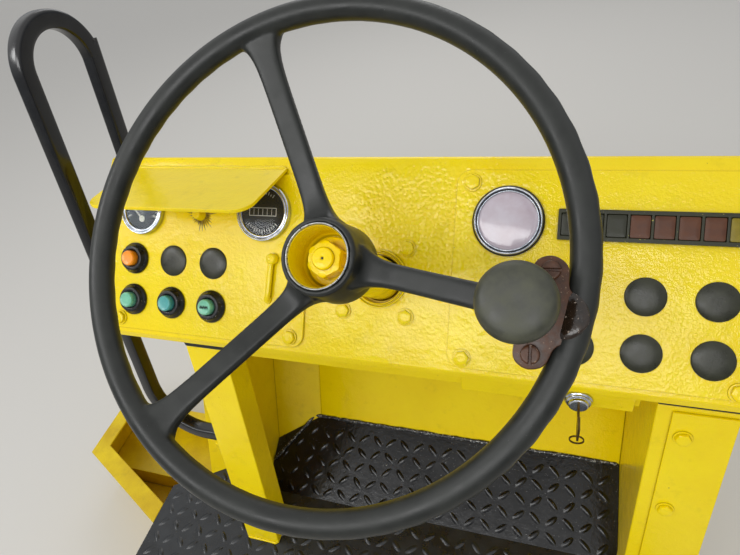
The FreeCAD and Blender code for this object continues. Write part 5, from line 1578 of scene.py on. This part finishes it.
@dataclass
class SteeringWheel:
    """Moulded wheel with three dished spokes, and the parts of its hub.

    Heights are measured along the steering axis from the rim's middle plane.
    """

    radius: float = 190.0
    section: float = 10.0
    grips: int = 54
    grip_depth: float = 0.9
    spokes: int = 3
    spoke_angle: float = -9.5
    spoke_half_width: float = 9.6
    spoke_half_height: float = 6.0
    spoke_start: float = 28.0
    spoke_low: float = -48.0
    spoke_rise: float = 47.2
    spoke_widest: float = 24.0
    boss_foot: float = -68.0
    boss_top: float = -13.5
    boss_radius: float = 30.3
    socket: float = -50.5
    cup: float = 26.5
    bore: float = 10.0
    nut_flats: float = 27.0
    nut_foot: float = -43.4
    nut_top: float = -27.5
    voxel: float = 1.5

    def build(self, axes: Axes) -> None:
        """Build the moulding and the hub."""
        self.moulding(axes)
        self.hub(axes)

    def moulding(self, axes: Axes) -> None:
        """Melt rim, spokes and boss into one skin, with their corners smoothed.

        The rim is a torus whose section is pressed in under its lower side as
        grip_depth * (1 - cos(n a)) / 2, which leaves the finger grips.

        Args:
            axes: frame of the steering hinge.
        """
        surface = Surface()
        angle = np.linspace(0, FULL_TURN, 720, endpoint=False)[:, None]
        around = np.linspace(0, FULL_TURN, 40, endpoint=False)[None, :]
        under = np.sqrt(np.clip(-np.sin(around - 0.5), 0, 1))
        section = self.section - self.grip_depth * (1 - np.cos(self.grips * angle)) / 2 * under
        rim = polar(angle, self.radius + section * np.cos(around), section * np.sin(around))
        surface.grid(axes.world(rim), wrap_u=True, wrap_v=True)
        for number in range(self.spokes):
            turn = math.radians(self.spoke_angle) + number * FULL_TURN / self.spokes
            surface.grid(self.spoke(axes.turned(turn)), wrap_v=True, caps=True)
        boss = [
            (self.bore, self.boss_foot),
            (33.0, self.boss_foot),
            (34.0, self.boss_foot + 5),
            (32.4, -40.0),
            (31.4, -24.0),
            (self.boss_radius + 0.6, self.boss_top - 2.0),
            (self.boss_radius - 1.0, self.boss_top),
            (self.cup, self.boss_top),
            (self.cup, self.socket),
            (self.bore, self.socket),
            (self.bore, self.boss_foot),
        ]
        surface.turn(np.array(boss), axes, 120, closed=True)
        wheel = surface.piece("wheel_moulding", WHEEL_VINYL, Body.WHEEL, ("wheel",))
        remesh = wheel.modifiers.new("skin", "REMESH")
        remesh.mode = "VOXEL"
        remesh.voxel_size = self.voxel * MM
        remesh.use_smooth_shade = True
        smooth = wheel.modifiers.new("fillets", "SMOOTH")
        smooth.factor = 0.5
        smooth.iterations = 2

    def spoke(self, axes: Axes) -> np.ndarray:
        """Work out a spoke along the local x axis.

        Its middle rises evenly from the boss to the rim. Its half width and half height are
        constants plus terms that fade with the distance from the rim and from the boss, which
        flare its ends. The same term lifts the middle at the boss, so only the top is filleted.

        Args:
            axes: frame of the hinge, turned to the spoke.

        Returns:
            Grid of points, one row for each section.
        """
        reach = np.linspace(self.spoke_start, self.radius - 3.0, 92)
        rim, root = reach - self.radius, np.exp((33.0 - reach) / 9.0)
        run = self.radius - self.spoke_start
        height = self.spoke_low + (reach - self.spoke_start) * self.spoke_rise / run + 5.0 * root
        width = self.spoke_half_width + 9.0 * np.exp((rim + 8) / 9.0) + 5.4 * root
        thick = self.spoke_half_height + 1.8 * np.exp((rim + 6) / 10.0) + 5.4 * root
        section = superellipse(1.0, 1.0, 5.0, 48)
        y = section[None, :, 0] * np.minimum(width, self.spoke_widest)[:, None]
        z = height[:, None] + section[None, :, 1] * thick[:, None]
        return axes.world(np.stack([np.broadcast_to(reach[:, None], y.shape), y, z], axis=-1))

    def hub(self, axes: Axes) -> None:
        """Build the plated lip, the painted well, the washer, the nut and the shaft's domed end.

        Args:
            axes: frame of the steering hinge.
        """
        top, wall = self.boss_top, self.cup - 0.2
        lip = [(wall - 1.2, -49.0), (wall, -49.0), (wall, top), (wall - 0.1, top + 0.5)]
        lip += [(wall - 0.7, top + 1.1), (wall - 1.5, top + 0.5), (wall - 1.9, top - 1.0)]
        lip += [(wall - 1.9, -49.0), (wall - 1.2, -49.0)]
        well = [(10.2, -50.3), (25.6, -50.3), (25.6, -47.0), (24.6, -44.5), (24.6, top - 1.0)]
        well += [(24.0, top - 0.8), (23.6, -42.0), (21.4, -46.4), (10.2, -46.4), (10.2, -50.3)]
        disc = [(8.2, -46.4), (20.4, -46.4), (20.4, -43.8), (19.2, -43.0), (8.2, -43.0), (8.2, -46.4)]
        rings = (
            # name, section, finish, CAD nodes, softness of the corners, steps round the axis
            ("hub_cup_ring", lip, FLAKED_PLATE, ("hub_cup",), 0.5, 120),
            ("hub_well", well, ENAMEL, (), 1.0, 96),
            ("hub_washer_disc", disc, ENAMEL, ("hub_washer",), 0.7, 72),
        )
        for name, section, finish, nodes, soft, segments in rings:
            turned_piece(name, section, axes, finish, nodes, soft, segments, closed=True, body=Body.WHEEL)
        nut = Surface()
        self.add_nut(nut, axes)
        nut.piece("hub_nut_hexagon", ENAMEL, Body.WHEEL, ("hub_nut",))
        dome = [(0, -30.0), (9.2, -30.0), (9.2, -25.4), (8.0, -24.2), (1.9, -23.9), (1.2, -24.9), (0, -25.0)]
        turned_piece("shaft_end", dome, axes, ENAMEL, soft=0.7, segments=64, body=Body.WHEEL)
        drill = [(0, -25.4), (1.3, -25.4), (1.3, -24.85), (0, -24.8)]
        turned_piece("shaft_centre_drill", drill, axes, GUARD_PLASTIC, segments=32, body=Body.WHEEL)
        softened("steering_shaft", STEEL, 0.6, Body.WHEEL)

    def add_nut(self, surface: Surface, axes: Axes) -> None:
        """Add a hexagon with both ends chamfered by a cone, and a bore.

        Args:
            surface: where the nut is added.
            axes: frame of the steering hinge.
        """
        low, high = self.nut_foot, self.nut_top
        angle = np.linspace(0, FULL_TURN, 144, endpoint=False)[:, None]
        level = np.array([low, low, low + 1.8, high - 2.4, high - 1.0, high - 0.2, high, high - 1.2])
        limit = np.array([8.2, 13.2, 15.6, 15.6, 14.8, 13.3, 9.4, 8.2])
        radius = np.minimum(hexagon(angle, self.nut_flats), limit)
        surface.grid(axes.world(polar(angle, radius, level)), wrap_u=True, wrap_v=True)


@dataclass
class SpinnerKnob:
    """Knob with its pin, on a pressed clamp with two slotted screws."""

    diameter: float = 50.0
    angle: float = -9.5
    reach: float = 153.0
    rim: float = 190.0
    plate_foot: float = 3.0
    plate_top: float = 8.0
    strap_inner: float = 10.15
    strap_thickness: float = 1.5
    strap_half_width: float = 18.5
    strap_reach: float = 122.0

    def build(self, wheel: Axes, knob: Axes) -> None:
        """Build clamp and screws on the wheel, and the knob on its own body.

        Args:
            wheel: frame of the steering hinge.
            knob: frame of the knob's hinge.
        """
        axes = wheel.turned(math.radians(self.angle))
        clamp = Surface()
        self.add_plate(clamp, axes)
        clamp.piece("spinner_clamp_pressing", BROWN_CLAMP, Body.WHEEL, ("spinner_clamp",))
        strap = Surface()
        self.add_strap(strap, axes)
        strap.piece("spinner_strap", GLOSSY_STRAP, Body.WHEEL)
        screws = (
            # along the knob's radius, across it, turn of the slot
            (14.5, -28.5, 1.75),
            (14.5, 25.5, 0.2),
        )
        heads = Surface()
        for along, across, spin in screws:
            self.add_screw(heads, axes.moved(self.reach + along, across, self.plate_top).turned(spin))
        heads.piece("clamp_screw_heads", BROWN_CLAMP, Body.WHEEL, ("clamp_screws",))
        softened("knob_stem", STEEL, 0.5, Body.WHEEL)
        outer = self.diameter / 2
        bore = [(0.0, 25.1), (5.05, 25.1), (5.05, 0.0)]
        grip = [(13.6, 0.0), (14.2, 6.0), (20.5, 13.0), (outer - 0.6, 18.5), (outer, 23.0)]
        grip += [(outer - 0.8, 29.0), (outer - 3.6, 33.8), (15.0, 35.6), (6.0, 35.8), (0.0, 35.6)]
        moulding = Surface()
        base = knob.moved(0, 0, self.plate_top + 0.3)
        moulding.turn(np.concatenate([bore, rounded(grip, 4.0, 7)]), base, 128)
        moulding.piece("spinner_knob_moulding", KNOB_PLASTIC, Body.KNOB, ("spinner_knob",))

    def add_plate(self, surface: Surface, axes: Axes) -> None:
        """Add the clamp's plate: an eye under the knob, two ears for the screws, a root at the rim.

        Args:
            surface: where the plate is added.
            axes: frame of the hinge, turned to the knob.
        """
        corners = [(-15, -7), (-8, -15), (3, -20), (4, -34), (14, -39), (25, -34), (27, -20), (34, -17)]
        corners += [(34, 14), (27, 16), (25, 31), (14, 36), (4, 31), (2, 18), (-8, 15), (-15, 7)]
        outline = blend_corners(np.array(corners, float) + (self.reach, 0), 7.5, 6, closed=True)
        surface.plate(outline, axes, self.plate_foot, self.plate_top, 0.9)

    def add_strap(self, surface: Surface, axes: Axes) -> None:
        """Add the strap round the rim, open on the outer side, where its tongues are rounded.

        Its outer surface is at inner + thickness * (1 - |s|^6) from the rim's middle line, for s
        across the strap. For p from -1 to 1 along it, its half width falls from the plate with
        |p|, times the root of 1 - |p|^4, which rounds the tongues.

        Args:
            surface: where the strap is added.
            axes: frame of the hinge, turned to the knob.
        """
        p = np.linspace(-0.99, 0.99, 72)[:, None]
        around = math.pi + p * math.radians(self.strap_reach)
        s = np.linspace(-1, 1, 21)[None, :]
        width = (self.strap_half_width - 6.0 * np.abs(p)) * np.sqrt(1 - np.abs(p) ** 4)
        outer = self.strap_inner + self.strap_thickness * (1 - np.abs(s) ** 6) * np.ones_like(around)
        inner = np.full_like(outer, self.strap_inner - 0.1)
        radius = np.concatenate([outer, inner[:, ::-1]], axis=1)
        along = np.concatenate([s * width, (s * width)[:, ::-1]], axis=1) / self.rim
        radial = self.rim + radius * np.cos(around)
        points = polar(along, radial, radius * np.sin(around))
        surface.grid(axes.world(points), wrap_v=True, caps=True)

    def add_screw(self, surface: Surface, axes: Axes) -> None:
        """Add a cheese head: a polar grid whose top drops inside the slot.

        Args:
            surface: where the head is added.
            axes: frame on the plate, x along the slot.
        """
        outer, height, slot_depth = 6.0, 3.8, 1.6
        angle = np.linspace(0, FULL_TURN, 96, endpoint=False)[:, None]
        radius = np.array([outer, outer, outer - 0.4, outer - 1.0, 4.0, 3.0, 2.0, 1.1, 0.5, 0.0])
        level = height - np.array([height, 1.0, 0.3, 0.0, 0.0, 0.0, 0.0, 0.0, 0.0, 0.0])
        x, y = np.cos(angle) * radius, np.sin(angle) * radius
        z = np.where((np.abs(y) < 0.8) & (level > 1.0), height - slot_depth, level)
        surface.grid(axes.world(np.stack([x, y, z], axis=-1)), wrap_u=True)


# Rail and key


@dataclass
class GrabRail:
    """Bent bar with a hairpin top, whose legs turn inboard to their foot plates."""

    # The plane of the legs, and the point on the rear leg from which the lean is measured.
    plane: float = -437.9
    lean: float = 13.3
    datum_y: float = 165.2
    datum_z: float = 590.2
    spread: float = 104.0
    top: float = 800.0
    wide: float = 21.0
    deep: float = 18.0
    bend: float = 80.0
    feet: tuple[float, float] = (288.0, 449.0)
    wall: float = -320.0

    def leg(self, side: int, z: float) -> np.ndarray:
        """Work out the middle of a leg at a height.

        Args:
            side: 0 for the rear leg, 1 for the front one.
            z: the height.

        Returns:
            The point in millimetres.
        """
        across = side * self.spread / math.cos(math.radians(self.lean))
        rise = (z - self.datum_z) * math.tan(math.radians(self.lean))
        return np.array([self.plane, self.datum_y + across + rise, z])

    def run(self, side: int) -> np.ndarray:
        """Points from a foot, round the inboard bend and up to the hairpin.

        Args:
            side: 0 for the rear leg, 1 for the front one.

        Returns:
            The middle line in millimetres.
        """
        corner, top = self.leg(side, self.feet[side]), self.leg(side, self.top)
        foot = np.array([self.wall, corner[1], corner[2]])
        inward, upward = unit(foot - corner), unit(top - corner)
        centre = corner + (inward + upward) * self.bend
        angle = np.linspace(0, math.pi / 2, 28)[:, None]
        arc = centre - self.bend * (np.sin(angle) * inward + np.cos(angle) * upward)
        share = np.linspace(0, 1, 40)[1:, None]
        return np.concatenate([foot[None], arc, arc[-1] + (top - arc[-1]) * share])

    def build(self) -> None:
        """Carry the bar's rounded section along both legs and the hairpin.

        The section's width lies in the hairpin's plane, square to the run, and on the feet it
        keeps the way that it has where they begin.
        """
        lean = math.radians(self.lean)
        up = np.array([0.0, math.sin(lean), math.cos(lean)])
        across = np.array([0.0, math.cos(lean), -math.sin(lean)])
        half = self.spread / 2
        centre = self.leg(0, self.top) + across * half
        angle = np.linspace(0, math.pi, 60)[1:-1, None]
        hairpin = centre - across * half * np.cos(angle) + up * half * np.sin(angle)
        path = np.concatenate([self.run(0), hairpin, self.run(1)[::-1]]) * MM
        side = np.cross(np.array([1.0, 0.0, 0.0]), unit(np.gradient(path, axis=0)))
        steady = np.flatnonzero(np.linalg.norm(side, axis=1) > 0.15)
        side[: steady[0]] = side[steady[0]]
        side[steady[-1] + 1 :] = side[steady[-1]]
        section = superellipse(self.deep / 2 * MM, self.wide / 2 * MM, 4.5, 32)
        surface = Surface()
        surface.grid(carried(path, section, unit(side)), wrap_v=True, caps=True)
        surface.piece("rail_bar", BLACK_GLOSS, replaces=("grab_rail",))


@dataclass
class IgnitionKey:
    """Key switch with its nut, key and split ring."""

    collar: float = 13.2
    barrel: float = 9.3
    height: float = 9.0
    ring: float = 6.5
    ring_turns: int = 2
    ring_step: float = 0.45

    def build(self) -> None:
        """Build the switch, the key and the ring, which is wound twice from flat wire.

        The ring's wire runs round a circle, and steps sideways between its turns by a hyperbolic
        tangent of the angle.
        """
        low, high = node_box("key_switch")
        centre = (low + high) / 2
        towards = np.array([0.0, -1.0, 0.0])
        axes = axes_about(np.array([centre[0], high[1], centre[2]]) * MM, towards)
        collar, barrel, top = self.collar, self.barrel, self.height
        profile = [(0, 0), (collar, 0), (collar, 2.2), (collar - 1.2, 3.2), (collar - 1.6, 5.0)]
        profile += [(barrel + 0.3, 5.2), (barrel, top - 0.6), (barrel - 0.9, top), (0, top)]
        turned_piece("key_switch_body", profile, axes, CHROME, ("key_switch",), soft=0.7, segments=72)
        softened("ignition_key", OLD_BRASS, 0.5)
        low, high = node_box("key_ring")
        middle = axes_about((low + high) / 2 * MM, towards)
        angle = np.linspace(0, self.ring_turns * FULL_TURN, 180)
        offset = self.ring_step * np.tanh((angle - FULL_TURN) * 3)
        coil = np.stack([self.ring * np.sin(angle), self.ring * np.cos(angle), offset], axis=-1)
        section = superellipse(0.6 * MM, 0.45 * MM, 2.5, 10)
        ring = Surface()
        ring.grid(carried(middle.world(coil), section, middle.z), wrap_v=True, caps=True)
        ring.piece("key_split_ring", OLD_BRASS, replaces=("key_ring",))


# The studio


@dataclass
class Studio:
    """Floor, lamps and the camera at the photograph's view."""

    camera_at: tuple[float, float, float] = (120.74, -229.55, 971.27)
    right: tuple[float, float, float] = (0.94729, 0.27142, -0.17021)
    up: tuple[float, float, float] = (-0.06818, 0.68990, 0.72069)
    lens: float = 25.97
    sensor: float = 36.0
    floor_size: float = 40.0

    def build(self) -> None:
        """Build the studio round the object."""
        self.floor()
        self.world()
        self.lamps()
        self.camera()

    def floor(self) -> None:
        """A wide pale floor, which isn't part of the object."""
        mesh = bpy.data.meshes.new("studio_floor")
        size = self.floor_size
        corners = [(-size, -size, 0), (size, -size, 0), (size, size, 0), (-size, size, 0)]
        mesh.from_pydata(corners, [], [(0, 1, 2, 3)])
        floor = bpy.data.objects.new("studio_floor", mesh)
        bpy.context.scene.collection.objects.link(floor)
        material = bpy.data.materials.new("pale_floor")
        material.use_nodes = True
        shader = material.node_tree.nodes["Principled BSDF"]
        shader.inputs["Base Color"].default_value = linear("#D3D0CA")
        shader.inputs["Roughness"].default_value = 0.9
        mesh.materials.append(material)

    def world(self) -> None:
        """An even sky that lights softly, one that gloss mirrors, and a pale one for the camera.

        The mirrored sky brightens from its horizon upwards, so that gloss shows its relief.
        """
        world = bpy.data.worlds.new("studio_sky")
        bpy.context.scene.world = world
        world.use_nodes = True
        tree = world.node_tree
        tree.nodes.clear()
        light = add_node(tree, "ShaderNodeBackground", {"Color": linear("#F3F5F8"), "Strength": 0.62})
        where = add_node(tree, "ShaderNodeTexCoord", {}).outputs["Generated"]
        height = add_node(tree, "ShaderNodeSeparateXYZ", {0: where}).outputs["Z"]
        inputs = {"Value": height, "From Min": 0.0, "From Max": 0.55}
        rise = add_node(tree, RANGE, inputs).outputs["Result"]
        tones = {0: rise, 6: linear("#80858A"), 7: linear("#FFFFFF")}
        sky = add_node(tree, MIX, tones, data_type="RGBA").outputs[2]
        ray = add_node(tree, "ShaderNodeLightPath", {}).outputs
        tones = {0: ray["Is Camera Ray"], 6: sky, 7: linear("#DEDEDC")}
        sky = add_node(tree, MIX, tones, data_type="RGBA").outputs[2]
        seen = add_node(tree, "ShaderNodeBackground", {"Color": sky, "Strength": 1.0})
        shown = ray["Is Camera Ray"]
        for other in (ray["Is Glossy Ray"], ray["Is Transmission Ray"]):
            shown = add_node(tree, MATH, {0: shown, 1: other}, operation="MAXIMUM").outputs[0]
        chosen = add_node(tree, "ShaderNodeMixShader", {0: shown, 1: light.outputs[0], 2: seen.outputs[0]})
        add_node(tree, "ShaderNodeOutputWorld", {"Surface": chosen.outputs[0]})

    def lamps(self) -> None:
        """A long soft box behind the operator, a small lamp to the left, and one from ahead.

        The soft box stands where the instrument face mirrors it to the camera, and it is low,
        so that the paint's relief breaks its edges into glints.
        """
        lamps = (
            # name, place, aim, width and height of the lamp, power
            ("key", (-0.35, -1.60, 1.95), (0.0, 0.15, 0.6), (2.4, 0.6), 24.0),
            ("side", (-1.7, -0.7, 1.9), (0.0, 0.1, 0.5), (0.5, 0.5), 7.0),
            ("ahead", (-0.5, 2.2, 1.9), (0.0, 0.2, 0.5), (1.4, 1.4), 10.0),
        )
        for name, place, aim, size, power in lamps:
            data = bpy.data.lights.new(f"{name}_lamp", "AREA")
            data.shape = "RECTANGLE"
            data.size, data.size_y = size
            data.energy = power
            lamp = bpy.data.objects.new(f"{name}_lamp", data)
            bpy.context.scene.collection.objects.link(lamp)
            back = np.array(place) - np.array(aim)
            lamp.matrix_world = self.facing(np.array(place), back, np.array([0.0, 0.0, 1.0]))

    @staticmethod
    def facing(place: np.ndarray, back: np.ndarray, up: np.ndarray) -> Matrix:
        """Work out the place and turn of something that looks along minus back.

        Args:
            place: where it stands, in metres.
            back: direction behind it.
            up: direction that its y axis stays nearest to.

        Returns:
            Its matrix.
        """
        z = back / np.linalg.norm(back)
        x = np.cross(up, z)
        x /= np.linalg.norm(x)
        y = np.cross(z, x)
        rows = np.eye(4)
        rows[:3, 0], rows[:3, 1], rows[:3, 2], rows[:3, 3] = x, y, z, place
        return Matrix(rows.tolist())

    def camera(self) -> None:
        """The camera at the photograph's place and turn."""
        data = bpy.data.cameras.new("view")
        data.lens = self.lens
        data.sensor_width = self.sensor
        data.clip_start = 0.01
        camera = bpy.data.objects.new("view", data)
        bpy.context.scene.collection.objects.link(camera)
        right, up = np.array(self.right), np.array(self.up)
        back = np.cross(right, up)
        camera.matrix_world = self.facing(np.array(self.camera_at) * MM, back, up)
        bpy.context.scene.camera = camera


def main() -> None:
    """Build the object's pieces in order, then the studio."""
    logging.basicConfig(level=logging.INFO, format="%(message)s")
    face = face_axes()
    wheel = joint_axes("steering")
    SheetMetal().build()
    TreadPattern().build()
    left = RoundInstrument("left_gauge", -350.9, 151.8, 59.3, GREY_DIAL, DialKind.POINTER)
    left.build(face, ("gauge_bezels",))
    hours = RoundInstrument("hour_meter", -185.2, 154.5, 66.0, BLACK_DIAL, DialKind.COUNTER)
    hours.build(face, ("gauge_faces",))
    StopLamp().build(face)
    buttons = PushButtons()
    buttons.build(face)
    BlankingPlugs().build(face, buttons)
    WarningStrip().build(face)
    FaceFittings().build(face)
    Column().build(face, wheel)
    SteeringWheel().build(wheel)
    SpinnerKnob().build(wheel, joint_axes("spinner"))
    GrabRail().build()
    IgnitionKey().build()
    Studio().build()
    bpy.context.scene.view_settings.view_transform = "Standard"


if __name__ == "__main__":
    main()
